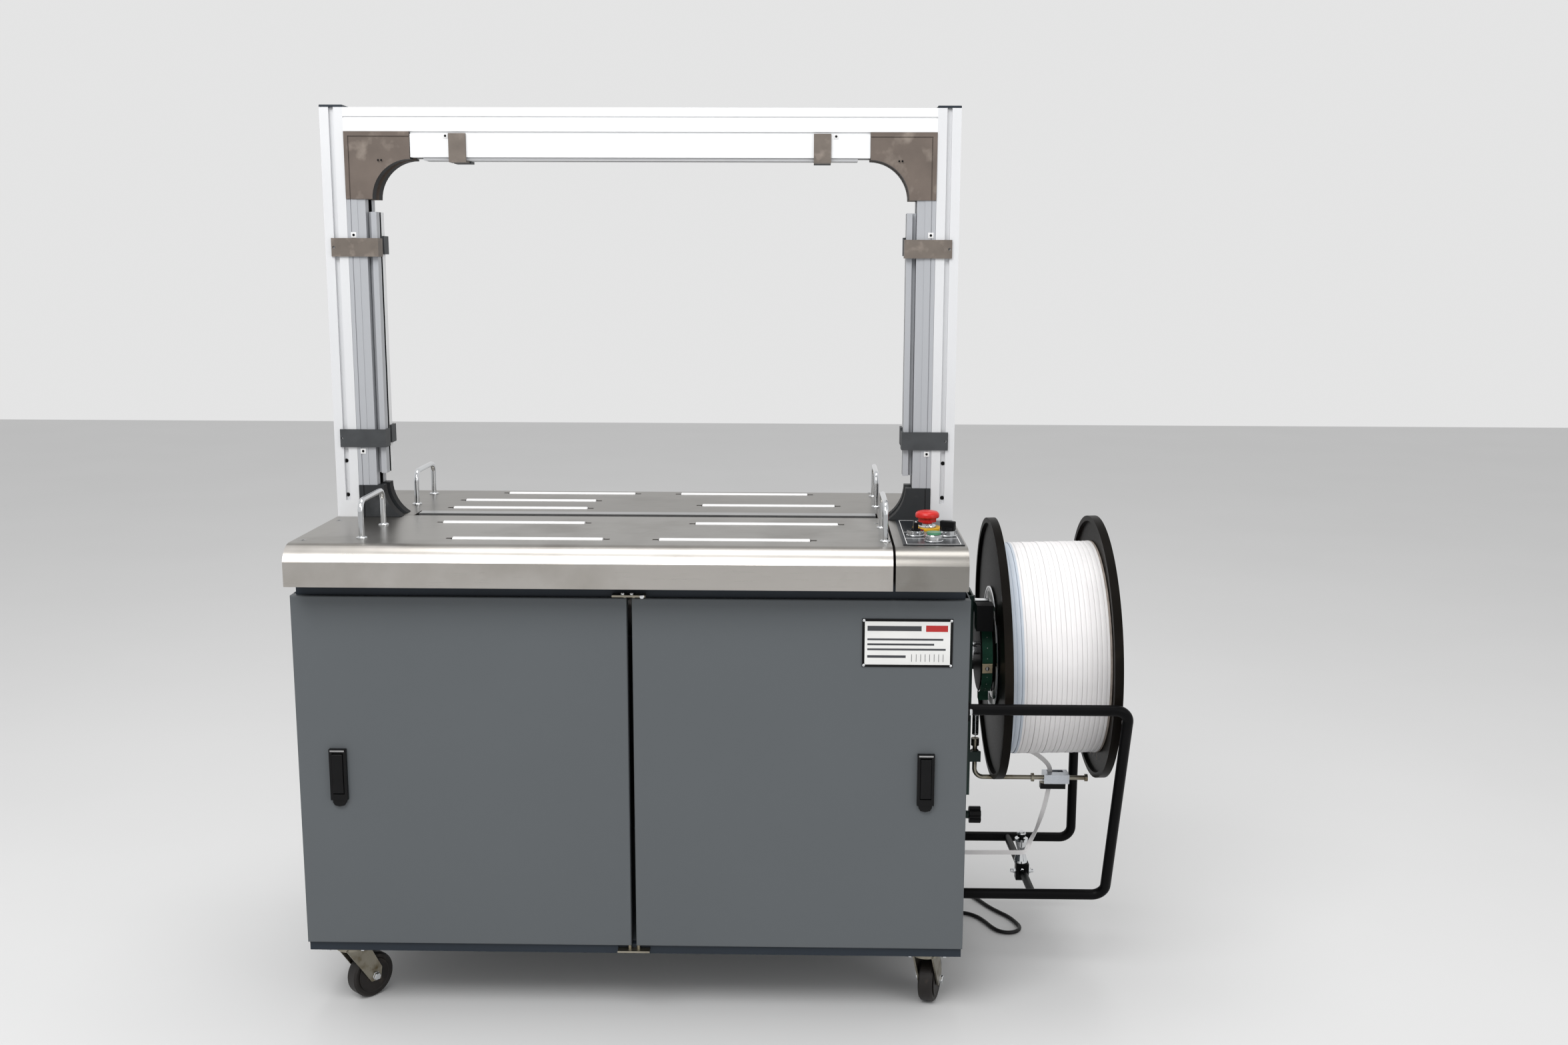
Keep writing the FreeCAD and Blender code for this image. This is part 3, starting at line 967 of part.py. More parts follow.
def dancer_arm():
    """Sprung arm: collar on the pivot, spring eye above, long rod with the strap eye to the right."""
    x, y = out("arm_out"), size("reel_y")
    spots = [Vector(x, y, size("arm_top_z")), Vector(x, y, size("arm_low_z")),
             Vector(out("arm_end_out"), y, size("arm_low_z"))]
    bar = feature("arm_bar", tube_along(spots, [16], size("arm_r")))
    pivot_x = "Q.cab_half + Q.arm_out"
    collar = rod("arm_collar", "9.5", "14", (pivot_x, "Q.reel_y - 7.6", "Q.arm_pivot_z"), "y")
    bore = rod("arm_bore", "3.5 + Q.run_play", "30", (pivot_x, "Q.reel_y - 16", "Q.arm_pivot_z"), "y")
    ring = rod("arm_ring", "7", "13", (pivot_x, "Q.reel_y", "Q.arm_top_z - 8"))
    stop = rod("arm_stop", "7.5", "5", ("Q.cab_half + Q.eye_out - Q.eye_block_w", "Q.reel_y",
                                        "Q.arm_low_z"), "x")
    end = rod("arm_tip", "6.5", "5", ("Q.cab_half + Q.arm_end_out - 3", "Q.reel_y", "Q.arm_low_z"), "x")
    low = "Q.arm_low_z - 9"
    block = box("eye_block", ("Q.cab_half + Q.eye_out - Q.eye_block_w / 2", "Q.reel_y - 9", low),
                ("Q.cab_half + Q.eye_out + Q.eye_block_w / 2", "Q.reel_y + 22", "Q.arm_low_z + 7"))
    eye = box("eye_slot", ("Q.cab_half + Q.eye_out - 14", "Q.reel_y + 8", low + " - 2"),
              ("Q.cab_half + Q.eye_out + 14", "Q.reel_y + 19", "Q.arm_low_z + 9"))
    horn = box("eye_horn", ("Q.cab_half + Q.eye_out - 28", "Q.reel_y - 7", low + " - 10"),
               ("Q.cab_half + Q.eye_out + 16", "Q.reel_y + 6", low + " + 1"))
    rod_set = fuse("arm_rods", bar, collar, ring, stop, end)
    node("dancer_arm", cut("arm_whole", fuse("arm_stock", rod_set, block, horn), bore, eye))


def dancer_spring():
    coil = rod("spring", "Q.spring_r", "Q.spring_top - Q.arm_top_z - 5.6",
               ("Q.cab_half + Q.arm_out", "Q.reel_y", "Q.arm_top_z + 5.3"))
    node("dancer_spring", coil)


def tension_knob():
    owner = body("Knob")
    ring = [("Q.knob_r * %.5f" % math.cos(math.radians(15 * i + 7.5)),
             "Q.knob_r * %.5f" % math.sin(math.radians(15 * i + 7.5)))
            for i in range(24)]
    sk = outline(owner, "KnobSketch", "YZ_Plane", ring)
    pad(owner, sk, "Q.knob_t")
    dents = [rod("knob_dent_%d" % i, "Q.knob_r / 4", "Q.knob_t + 4",
                 ("-2", "(Q.knob_r + 1) * %.6f" % math.cos(math.radians(60 * i)),
                  "(Q.knob_r + 1) * %.6f" % math.sin(math.radians(60 * i))), "x") for i in range(6)]
    bore = rod("knob_bore", "Q.stud_r + Q.run_play", "14", ("-2", "0", "0"), "x")
    node("tension_knob", cut("knob_cut", owner, bore, *dents),
         ("Q.cab_half + Q.bracket_out + 4.5", "Q.reel_y", "Q.knob_z"))


# ---------------------------------------------------------------- strap and cord

def curve_at(before, start, end, after, part):
    """A point between start and end on a curve that leaves each along its two neighbours."""
    span = (end - start).Length
    lead, leave = (end - before).normalize() * span, (after - start).normalize() * span
    return (start * (2 * part ** 3 - 3 * part ** 2 + 1) + lead * (part ** 3 - 2 * part ** 2 + part)
            + end * (3 * part ** 2 - 2 * part ** 3) + leave * (part ** 3 - part ** 2))


def ribbon(stations, steps):
    """A thin band through stations of (centre, width direction)."""
    half_w, half_t = size("strap_w") / 2, size("strap_t") / 2
    wires = []
    last = len(stations) - 1
    for index in range(last * steps + 1):
        at = min(index // steps, last - 1)
        part = index / steps - at
        spots = [stations[max(at - 1, 0)][0], stations[at][0], stations[at + 1][0],
                 stations[min(at + 2, last)][0]]
        centre = curve_at(*spots, part)
        along = (curve_at(*spots, part + 0.02) - curve_at(*spots, part - 0.02)).normalize()
        wide = stations[at][1] * (1 - part) + stations[at + 1][1] * part
        wide = (wide - along * wide.dot(along)).normalize()
        w, t = wide * half_w, along.cross(wide) * half_t
        wires.append(Part.makePolygon([centre - w - t, centre + w - t, centre + w + t, centre - w + t,
                                       centre - w - t]))
    return Part.makeLoft(wires, True, True)


def strap_run():
    """Strap from the roll through the arm's eye, round the guide roller and into the cabinet."""
    x, y = out("eye_out") - 8.5, size("reel_y") + 13.5
    eye = size("arm_low_z")
    gx, gy, gz = out("guide_out"), size("guide_y"), size("guide_z") + 1 + size("guide_h") / 2
    off = size("guide_r") - 4 + 3.6
    across, down = Vector(1, 0, 0), Vector(0, 0, -1)
    band = ribbon([(Vector(x - 42, y, eye + 47), Vector(0.5, 0, 0.86)),
                   (Vector(x - 21, y, eye + 35), Vector(0.55, 0, 0.83)),
                   (Vector(x - 3, y, eye + 17), Vector(0.9, 0, 0.4)),
                   (Vector(x, y, eye), across),
                   (Vector(x - 2, y, eye - 26), across),
                   (Vector(x - 9, y, eye - 62), Vector(1, -0.2, 0)),
                   (Vector(gx + 26, gy + 3, gz + 36), Vector(0.35, -0.9, -0.3)),
                   (Vector(gx + off + 5, gy + 3, gz + 12), Vector(0.2, -0.5, -1)),
                   (Vector(gx + off + 0.4, gy - 3, gz + 2), down),
                   (Vector(gx + off * 0.65, gy - off * 0.85, gz), down),
                   (Vector(gx, gy - off - 0.8, gz - 0.6), down),
                   (Vector(gx - off * 1.3, gy - off - 0.6, gz - 1), down),
                   (Vector(size("cab_half") - 14, gy - 1, gz - 6), down)], 8)
    node("strap_run", feature("strap_band", band))


# The mains lead, point by point from the gland: X and Y from the middle of the arch, Z from the floor.
CORD = ((470, 110, 91.9), (470, 110, 73), (474, 110, 51), (485, 112, 30), (502, 119, 13), (526, 136, 5),
        (551, 155, 3.8), (577, 160, 3.8), (599, 145, 3.8), (613, 121, 3.8), (622, 98, 3.8), (634, 79, 3.8),
        (652, 73, 3.8), (669, 81, 3.8), (676, 98.5, 3.8), (670, 120, 3.8), (660, 143, 3.8), (644, 163, 3.8),
        (627, 187, 3.8), (612, 218, 3.8), (590, 254, 3.8), (556, 287, 3.8), (510, 314, 3.8), (460, 331, 3.8),
        (410, 344, 3.8), (366, 361, 3.8), (334, 377.2, 3.8), (306.1, 393.7, 3.8))
TAIL = ((287.7, 464.4, 3.8), (300, 487, 3.8), (323, 503, 3.8), (352, 508, 3.8))
COIL_AT = (262, 420)
COIL_R = 40
COIL_THICK = 11


def arc_radii(points):
    radii = []
    for before, point, after in zip(points, points[1:], points[2:]):
        come, leave = point - before, after - point
        turn = come.getAngle(leave)
        radii.append(0.45 * min(come.Length, leave.Length) / math.tan(turn / 2))
    return radii


def mains_lead():
    radius = size("cord_r")
    tubes = []
    total = 0
    for tag, rows in (("lead", CORD), ("tail", TAIL)):
        points = [Vector(*row) for row in rows]
        radii = arc_radii(points)
        print(tag, "radii", [round(r) for r in radii])
        tubes.append(feature("cord_" + tag, tube_along(points, radii, radius)))
        total += bent_path(points, radii).Length
    print("cord tube length", round(total))
    node("power_cord", group("cord_set", *tubes))
    at = ("Q.gland_x", "Q.gland_y")
    cap = rod("gland_body", "Q.gland_r", "8", at + ("Q.door_low - 8 - Q.free_gap",))
    neck = rod("gland_neck", "Q.gland_r - 3", "12", at + ("Q.door_low - 5",))
    nut = rod("gland_nut", "Q.gland_r - 1", "4", at + ("Q.door_low + Q.wall + Q.free_gap",))
    sleeve = cone("gland_sleeve", "Q.cord_r + 0.8", "Q.gland_r - 1.5", "27", at + ("Q.door_low - 35",))
    node("cord_gland", fuse("gland_whole", cap, neck, nut, sleeve))
    ring = Part.makeTorus(COIL_R, COIL_THICK, Vector(COIL_AT[0], COIL_AT[1], COIL_THICK + 0.2))
    node("power_cord_coil", feature("coil", ring))
    x, y = TAIL[-1][0], TAIL[-1][1]
    grip = box("plug_grip", (str(x + 1), str(y - 12), "0.4"), (str(x + 42), str(y + 14), "26"))
    face = box("plug_face", (str(x + 41), str(y - 18), "0.4"), (str(x + 52), str(y + 20), "38"))
    pins = [rod("plug_pin_%d" % i, "2.4", "20", (str(x + 51), str(y + 1 + d), "19"), "x") for i,
            d in enumerate((-10, 10))]
    node("power_plug", fuse("plug_whole", grip, face, *pins))


def check_and_write():
    doc.recompute()
    for obj in doc.Objects:
        if "Invalid" in obj.State or "Error" in obj.State:
            raise ValueError("%s did not recompute: %s" % (obj.Name, obj.State))
    os.makedirs("parts", exist_ok=True)
    for item in NODES:
        shape = item.Shape
        if shape.isNull() or not shape.isValid():
            raise ValueError("%s has no valid shape" % item.Label)
        if not shape.Solids:
            raise ValueError("%s has no solid" % item.Label)
        shape.exportStep("parts/%s.step" % item.Label)
    print(len(NODES), "nodes written")


base_frame()
casters()
cabinet_shell()
top_frame()
hinge_plates()
doors()
nameplate()
front_table_cover()
rear_table_cover()
guard_handles()
table_rollers()
control_box()
control_plate()
switches()
arch_frame()
corner_brackets()
chute_rails()
front_flaps()
clips()
strapping_head()
reel_bracket()
reel()
brake_band()
reel_stand()
guide_roller()
dancer_arm()
dancer_spring()
tension_knob()
strap_run()
mains_lead()
check_and_write()
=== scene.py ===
import math
import random

import bmesh
import bpy
from mathutils import Matrix, Vector


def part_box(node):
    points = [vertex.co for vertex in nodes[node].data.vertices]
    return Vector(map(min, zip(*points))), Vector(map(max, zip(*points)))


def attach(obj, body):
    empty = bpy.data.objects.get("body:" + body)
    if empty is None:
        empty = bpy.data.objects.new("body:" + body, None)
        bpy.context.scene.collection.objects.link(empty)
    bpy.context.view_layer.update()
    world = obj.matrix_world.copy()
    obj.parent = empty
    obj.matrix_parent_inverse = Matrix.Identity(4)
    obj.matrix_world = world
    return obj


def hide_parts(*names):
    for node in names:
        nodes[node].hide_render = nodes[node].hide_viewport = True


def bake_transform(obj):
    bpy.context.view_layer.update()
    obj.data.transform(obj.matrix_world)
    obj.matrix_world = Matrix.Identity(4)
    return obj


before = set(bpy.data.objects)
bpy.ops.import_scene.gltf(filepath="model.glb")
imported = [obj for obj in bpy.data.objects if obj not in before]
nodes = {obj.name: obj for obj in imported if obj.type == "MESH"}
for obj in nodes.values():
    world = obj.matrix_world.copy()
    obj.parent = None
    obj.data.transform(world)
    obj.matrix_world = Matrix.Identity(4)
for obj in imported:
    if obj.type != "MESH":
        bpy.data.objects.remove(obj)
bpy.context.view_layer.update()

# Looks for the arch strapping machine. Positions are millimetres with X measured from the middle of the
# arch, Y to the back and Z up; at() turns them into metres of the shared frame.

scene = bpy.context.scene

MID = -132.5                    # frame X of the middle of the arch
FRONT, UP = (0, -1, 0), (0, 0, 1)
TABLE_TOP = 791
PANEL_TOP = 792.5
PRINT_TOP = PANEL_TOP + 0.25
DOOR_FACE = -255
CABINET_SIDE = 531
LATCH_X = 466
CASTER_X, CASTER_Y = 476, 205
CORNERS = ("front_left", "front_right", "rear_left", "rear_right")
STOP, TOGGLE, DIAL, START = (471, -122), (448, -182), (499, -182), (473, -232)


def at(x, y, z):
    """Frame position in metres of a point in arch millimetres."""
    return Vector(((x + MID) / 1000, y / 1000, z / 1000))


REEL = at(561, 10, 560)
AXLE = Vector((math.cos(math.radians(1.5)), 0, math.sin(math.radians(1.5))))


# ---------------------------------------------------------------- materials

def srgb(red, green, blue):
    """Linear colour of three 0 to 255 values."""
    channels = []
    for c in (red, green, blue):
        c = c / 255
        channels.append(c / 12.92 if c < 0.04 else ((c + 0.055) / 1.055) ** 2.4)
    return tuple(channels) + (1.0,)


def shade(colour, factor):
    return tuple(min(1.0, c * factor) for c in colour[:3]) + (1.0,)


def surface(name, colour, rough=0.5, metal=0.0, spread=0.06, cloud=9.0, grain=700.0, bump=0.1,
            stretch=(1, 1, 1), coat=0.0, rough_spread=0.06, patch=None, depth=0.0003, spec=0.5):
    """Procedural finish: cloudy colour, uneven roughness, fine grain, and patches of a second colour."""
    mat = bpy.data.materials.new(name)
    mat.use_nodes = True
    tree = mat.node_tree
    shader = tree.nodes["Principled BSDF"]
    place = tree.nodes.new("ShaderNodeTexCoord")
    mapping = tree.nodes.new("ShaderNodeMapping")
    mapping.inputs["Scale"].default_value = stretch
    tree.links.new(place.outputs["Object"], mapping.inputs["Vector"])

    def noise(size, detail, vector):
        tex = tree.nodes.new("ShaderNodeTexNoise")
        tex.inputs["Scale"].default_value = size
        tex.inputs["Detail"].default_value = detail
        tree.links.new(vector, tex.inputs["Vector"])
        return tex.outputs["Fac"]

    big = noise(cloud, 4, place.outputs["Object"])
    fine = noise(grain, 3, mapping.outputs["Vector"])
    ramp = tree.nodes.new("ShaderNodeValToRGB")
    ramp.color_ramp.elements[0].position = 0.3
    ramp.color_ramp.elements[1].position = 0.7
    ramp.color_ramp.elements[0].color = shade(colour, 1 - spread)
    ramp.color_ramp.elements[1].color = shade(colour, 1 + spread)
    tree.links.new(big, ramp.inputs["Fac"])
    tint = ramp.outputs["Color"]
    if patch:
        other, low, high, size = patch
        mask = tree.nodes.new("ShaderNodeMapRange")
        mask.inputs["From Min"].default_value = low
        mask.inputs["From Max"].default_value = high
        tree.links.new(noise(size, 6, place.outputs["Object"]), mask.inputs["Value"])
        mix = tree.nodes.new("ShaderNodeMix")
        mix.data_type = "RGBA"
        tree.links.new(mask.outputs["Result"], mix.inputs["Factor"])
        tree.links.new(tint, mix.inputs["A"])
        mix.inputs["B"].default_value = other
        tint = mix.outputs["Result"]
    tree.links.new(tint, shader.inputs["Base Color"])
    spreader = tree.nodes.new("ShaderNodeMapRange")
    spreader.inputs["To Min"].default_value = max(0.02, rough - rough_spread)
    spreader.inputs["To Max"].default_value = rough + rough_spread
    tree.links.new(fine, spreader.inputs["Value"])
    tree.links.new(spreader.outputs["Result"], shader.inputs["Roughness"])
    relief = tree.nodes.new("ShaderNodeBump")
    relief.inputs["Strength"].default_value = bump
    relief.inputs["Distance"].default_value = depth
    tree.links.new(fine, relief.inputs["Height"])
    tree.links.new(relief.outputs["Normal"], shader.inputs["Normal"])
    shader.inputs["Metallic"].default_value = metal
    shader.inputs["Coat Weight"].default_value = coat
    shader.inputs["Specular IOR Level"].default_value = spec
    return mat


white_alu = surface("white_alu", srgb(210, 211, 213), 0.42, 0.2, 0.02, 5, 900, 0.05, (1, 1, 0.02), spec=0.3)
# Darker copy of white_alu: painted shade on the side flaps and the side chute rails.
rail_alu_painted_shade = surface("rail_alu_painted_shade", srgb(166, 168, 172), 0.42, 0.15, 0.02, 5, 900, 0.05, (1, 1, 0.02), spec=0.3)
# Lighter copy of white_alu with the grain along X: painted light on the top beam and the top chute rails.
beam_alu_painted_lit = surface("beam_alu_painted_lit", srgb(224, 225, 226), 0.42, 0.1, 0.01, 5, 900, 0.04, (0.02, 1, 1), spec=0.3)
# Near-black painted shade for the faces inside the chute's slot.
slot_painted_shade = surface("slot_painted_shade", srgb(18, 20, 23), 0.7, 0.0, 0.2, 40, 500, 0.2, spec=0.1)
steel = surface("brushed_sheet", srgb(150, 147, 142), 0.3, 1.0, 0.05, 3.5, 900, 0.06, (0.015, 1, 1),
                patch=(srgb(118, 113, 106), 0.5, 0.75, 7.0))
# Lighter copy of the brushed sheet: painted light on the front lip's forward-facing faces.
steel_lip_painted_lit = surface("brushed_lip_painted_lit", srgb(190, 186, 181), 0.3, 1.0, 0.04, 3.5, 900, 0.06, (0.015, 1, 1),
                    patch=(srgb(168, 163, 156), 0.5, 0.75, 7.0))
# Darker copy of the brushed sheet: painted shade on the rear table cover.
steel_rear_painted_shade = surface("brushed_rear_painted_shade", srgb(132, 128, 122), 0.3, 1.0, 0.05, 3.5, 900, 0.06, (0.015, 1, 1),
                     patch=(srgb(108, 103, 96), 0.5, 0.75, 7.0))
eye_alu = surface("eye_alu", srgb(186, 190, 196), 0.28, 1.0, 0.06, 12, 1200, 0.08, (0.05, 1, 1))
machined = surface("machined_steel", srgb(170, 170, 170), 0.3, 1.0, 0.06, 12, 1200, 0.08, (0.05, 1, 1))
chrome = surface("chrome", srgb(212, 214, 216), 0.12, 1.0, 0.03, 8, 500, 0.02, rough_spread=0.03)
zinc = surface("zinc_plate", srgb(150, 145, 132), 0.36, 1.0, 0.12, 20, 800, 0.1,
               patch=(srgb(104, 92, 70), 0.5, 0.72, 45.0))
door_paint = surface("door_paint", srgb(86, 90, 93), 0.5, 0.0, 0.025, 2.5, 1500, 0.16, depth=0.0001,
                     spec=0.25)
shell_paint = surface("shell_paint", srgb(76, 81, 85), 0.5, 0.0, 0.04, 3, 1500, 0.16, depth=0.0001, spec=0.25)
dark_paint = surface("dark_blue_paint", srgb(34, 41, 49), 0.5, 0.0, 0.08, 6, 1200, 0.12, spec=0.25)
bracket_mould = surface("bracket_mould", srgb(98, 88, 81), 0.5, 0.0, 0.12, 22, 900, 0.25, spec=0.3,
                        patch=(srgb(134, 124, 115), 0.55, 0.75, 28.0))
foot_mould = surface("foot_mould", srgb(40, 42, 44), 0.52, 0.0, 0.12, 20, 900, 0.25, spec=0.25,
                     patch=(srgb(62, 63, 65), 0.56, 0.76, 24.0))
# Near-black painted shade for holes, recesses and the corner brackets' inward faces.
black_painted_shade = surface("black_painted_shade", srgb(12, 12, 13), 0.5, 0.0, 0.2, 20, 900, 0.2, spec=0.1)
clip_mould = surface("clip_mould", srgb(104, 96, 89), 0.55, 0.0, 0.12, 45, 900, 0.25, spec=0.3,
                     patch=(srgb(128, 118, 110), 0.56, 0.76, 60.0))
clip_dark = surface("clip_dark", srgb(62, 64, 66), 0.55, 0.0, 0.12, 45, 900, 0.25, spec=0.25)
reel_gloss = surface("reel_gloss", srgb(10, 10, 11), 0.16, 0.0, 0.25, 8, 300, 0.05, spec=0.3,
                     rough_spread=0.04)
reel_face = surface("reel_face", srgb(20, 18, 16), 0.34, 0.0, 0.3, 8, 300, 0.05, spec=0.02,
                    patch=(srgb(44, 38, 32), 0.52, 0.8, 6.0))
tube_black = surface("tube_black", srgb(11, 11, 12), 0.36, 0.0, 0.2, 14, 900, 0.15, spec=0.06)
block_black = surface("block_black", srgb(15, 15, 17), 0.45, 0.0, 0.15, 30, 900, 0.15, spec=0.15)
plastic_black = surface("plastic_black", srgb(12, 12, 13), 0.4, 0.0, 0.15, 30, 900, 0.12, spec=0.15)
bracket_green = surface("bracket_green", srgb(26, 50, 45), 0.42, 0.0, 0.15, 18, 900, 0.15, spec=0.3)
belt_green = surface("belt_green", srgb(36, 82, 64), 0.6, 0.0, 0.15, 60, 1200, 0.4, spec=0.2)
strap_white = surface("strap_white", srgb(222, 220, 220), 0.42, 0.0, 0.02, 30, 500, 0.12, spec=0.3)
# Bluish copy of the strap white: painted shade at the roll's left end by the flange.
strap_blue_painted_shade = surface("strap_blue_painted_shade", srgb(190, 198, 208), 0.42, 0.0, 0.03, 30, 500, 0.12, spec=0.3)
strap_worn = surface("strap_worn", srgb(150, 140, 132), 0.6, 0.0, 0.2, 80, 500, 0.3, spec=0.2)
wheel_brown = surface("wheel_brown", srgb(26, 22, 20), 0.5, 0.0, 0.25, 50, 500, 0.25, spec=0.35,
                      patch=(srgb(62, 53, 46), 0.58, 0.74, 40.0))
red_plastic = surface("red_plastic", srgb(186, 26, 20), 0.3, 0.0, 0.05, 30, 500, 0.04, spec=0.4)
green_plastic = surface("green_plastic", srgb(72, 128, 96), 0.3, 0.0, 0.05, 60, 500, 0.04, spec=0.4)
yellow_disc = surface("yellow_disc", srgb(206, 160, 22), 0.5, 0.0, 0.05, 60, 500, 0.05, spec=0.3)
legend_plate = surface("legend_plate", srgb(30, 33, 37), 0.3, 0.2, 0.1, 20, 500, 0.03, spec=0.3)
print_white = surface("print_white", srgb(214, 214, 214), 0.5, 0.0, 0.02, 60, 500, 0.05, spec=0.3)
label_white = surface("label_white", srgb(220, 220, 218), 0.4, 0.0, 0.02, 30, 500, 0.05, spec=0.3)
print_red = surface("print_red", srgb(170, 30, 28), 0.5, 0.0, 0.02, 60, 500, 0.05)
print_dark = surface("print_dark", srgb(52, 54, 58), 0.5, 0.0, 0.02, 60, 500, 0.05)
cord_sheath = surface("cord_sheath", srgb(14, 14, 15), 0.45, 0.0, 0.15, 60, 900, 0.15, spec=0.25)
beige_plate = surface("beige_plate", srgb(176, 162, 136), 0.35, 0.9, 0.06, 60, 900, 0.08)
floor_pale = surface("floor_pale", srgb(206, 206, 206), 0.75, 0.0, 0.01, 1.5, 200, 0.02, spec=0.2)


# ---------------------------------------------------------------- mesh helpers

def add_mesh(name, verts, faces, body, mat, slot, sharp=35):
    mesh = bpy.data.meshes.new(name)
    mesh.from_pydata([tuple(v) for v in verts], [], faces)
    mesh.validate()
    return finish_mesh(name, mesh, body, mat, sharp)


def finish_mesh(name, mesh, body, mat, sharp=35):
    mesh.materials.append(mat)
    for poly in mesh.polygons:
        poly.use_smooth = True
    mesh.set_sharp_from_angle(angle=math.radians(sharp))
    obj = bpy.data.objects.new(name, mesh)
    scene.collection.objects.link(obj)
    if body:
        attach(obj, body)
    return obj


def basis(axis):
    along = Vector(axis).normalized()
    side = Vector((0, 0, 1)).cross(along)
    side = Vector((1, 0, 0)) if side.length < 1e-4 else side.normalized()
    return side, along.cross(side), along


def turned(rows, origin, axis=(0, 0, 1), sides=48, closed=False):
    """Vertices and faces of a profile of (radius, height) pairs in mm turned about an axis."""
    side, up, along = basis(axis)
    verts, rings, faces = [], [], []
    for radius, height in rows:
        centre = origin + along * height / 1000
        if radius < 1e-6:
            rings.append([len(verts)])
            verts.append(centre)
            continue
        rings.append(list(range(len(verts), len(verts) + sides)))
        for k in range(sides):
            angle = 2 * math.pi * k / sides
            verts.append(centre + (side * math.cos(angle) + up * math.sin(angle)) * radius / 1000)
    pairs = list(zip(rings, rings[1:]))
    if closed:
        pairs.append((rings[-1], rings[0]))
    for low, high in pairs:
        for k in range(sides):
            n = (k + 1) % sides
            if len(low) == 1:
                faces.append((low[0], high[n], high[k]))
            elif len(high) == 1:
                faces.append((low[k], low[n], high[0]))
            else:
                faces.append((low[k], low[n], high[n], high[k]))
    return verts, faces


def join(parts):
    verts, faces = [], []
    for v, f in parts:
        base = len(verts)
        verts.extend(v)
        faces.extend(tuple(i + base for i in face) for face in f)
    return verts, faces


def lathe(name, rows, origin, body, mat, slot, axis=(0, 0, 1), sides=48, closed=False):
    verts, faces = turned(rows, origin, axis, sides, closed)
    return add_mesh(name, verts, faces, body, mat, slot)


def cuboid(low, high, bevel=0.5, segments=2):
    """A bevelled box between two corners in arch millimetres, as vertices and faces."""
    a, b = at(*low), at(*high)
    bm = bmesh.new()
    bmesh.ops.create_cube(bm, size=1)
    for v in bm.verts:
        v.co = Vector([a[i] if v.co[i] < 0 else b[i] for i in range(3)])
    if bevel:
        bmesh.ops.bevel(bm, geom=list(bm.edges), offset=bevel / 1000, segments=segments, profile=0.5,
                        affect="EDGES")
    bm.normal_update()
    verts = [v.co.copy() for v in bm.verts]
    faces = [tuple(v.index for v in f.verts) for f in bm.faces]
    bm.free()
    return verts, faces


def slab(name, low, high, body, mat, slot, bevel=0.5, segments=2):
    verts, faces = cuboid(low, high, bevel, segments)
    return add_mesh(name, verts, faces, body, mat, slot)


def swept(points, radius, sides=14, caps=True):
    """A round tube through points (metres), as vertices and faces."""
    verts, faces, rings = [], [], []
    side = None
    count = len(points)
    for i, p in enumerate(points):
        ahead = points[min(i + 1, count - 1)] - points[max(i - 1, 0)]
        ahead.normalize()
        if side is None:
            side = ahead.orthogonal().normalized()
        side = (side - ahead * side.dot(ahead)).normalized()
        up = ahead.cross(side)
        rings.append(list(range(len(verts), len(verts) + sides)))
        for k in range(sides):
            angle = 2 * math.pi * k / sides
            verts.append(p + (side * math.cos(angle) + up * math.sin(angle)) * radius / 1000)
    for low, high in zip(rings, rings[1:]):
        for k in range(sides):
            n = (k + 1) % sides
            faces.append((low[k], low[n], high[n], high[k]))
    if caps:
        faces.append(tuple(reversed(rings[0])))
        faces.append(tuple(rings[-1]))
    return verts, faces


def cross_head(origin, axis, radius, proud=0.4):
    """Countersunk head with a cross recess: (head, recess) vertex and face sets."""
    side, up, along = basis(axis)
    head = turned([(radius, 0), (radius, proud * 0.5), (radius * 0.86, proud), (0, proud)], origin, axis, 28)
    arm, half = radius * 0.62, radius * 0.13
    outline = [(half, half), (arm, half), (arm, -half), (half, -half), (half, -arm), (-half, -arm),
               (-half, -half), (-arm, -half), (-arm, half), (-half, half), (-half, arm), (half, arm)]
    verts = [origin + (side * a + up * b) / 1000 + along * (proud + 0.12) / 1000 for a, b in outline]
    return head, (verts, [tuple(reversed(range(12)))])


def paint(node, mat):
    data = nodes[node].data
    data.materials.clear()
    data.materials.append(mat)
    for poly in data.polygons:
        poly.material_index = 0


def paint_faces(node, mat, wanted):
    """Give the polygons of a CAD node that wanted(centre, normal) picks another finish."""
    data = nodes[node].data
    data.materials.append(mat)
    index = len(data.materials) - 1
    for poly in data.polygons:
        centre = poly.center * 1000
        centre.x -= MID
        if wanted(centre, poly.normal):
            poly.material_index = index


# ---------------------------------------------------------------- camera, light, floor

def look():
    """The camera at the angle of the photo, worked out from the straight edges in it."""
    camera = bpy.data.cameras.new("camera")
    camera.sensor_width = 36
    camera.lens = 34.48
    camera.clip_end = 60
    obj = bpy.data.objects.new("camera", camera)
    scene.collection.objects.link(obj)
    yaw, pitch, roll = math.radians(-1.01), math.radians(9.8), math.radians(0.2)
    ahead = Vector((math.sin(yaw) * math.cos(pitch), math.cos(yaw) * math.cos(pitch), -math.sin(pitch)))
    right = Vector((math.cos(yaw), -math.sin(yaw), 0))
    up = right.cross(ahead)
    right, up = (right * math.cos(roll) + up * math.sin(roll), up * math.cos(roll) - right * math.sin(roll))
    turn = Matrix((right, up, -ahead)).transposed().to_4x4()
    obj.matrix_world = Matrix.Translation(at(280.8, -2530.19, 1217.69)) @ turn
    scene.camera = obj


def area_light(name, place, target, width, height, power):
    light = bpy.data.lights.new(name, "AREA")
    light.shape = "RECTANGLE"
    light.size = width
    light.size_y = height
    light.energy = power
    obj = bpy.data.objects.new(name, light)
    scene.collection.objects.link(obj)
    obj.location = place
    obj.rotation_euler = (Vector(target) - Vector(place)).to_track_quat("-Z", "Y").to_euler()


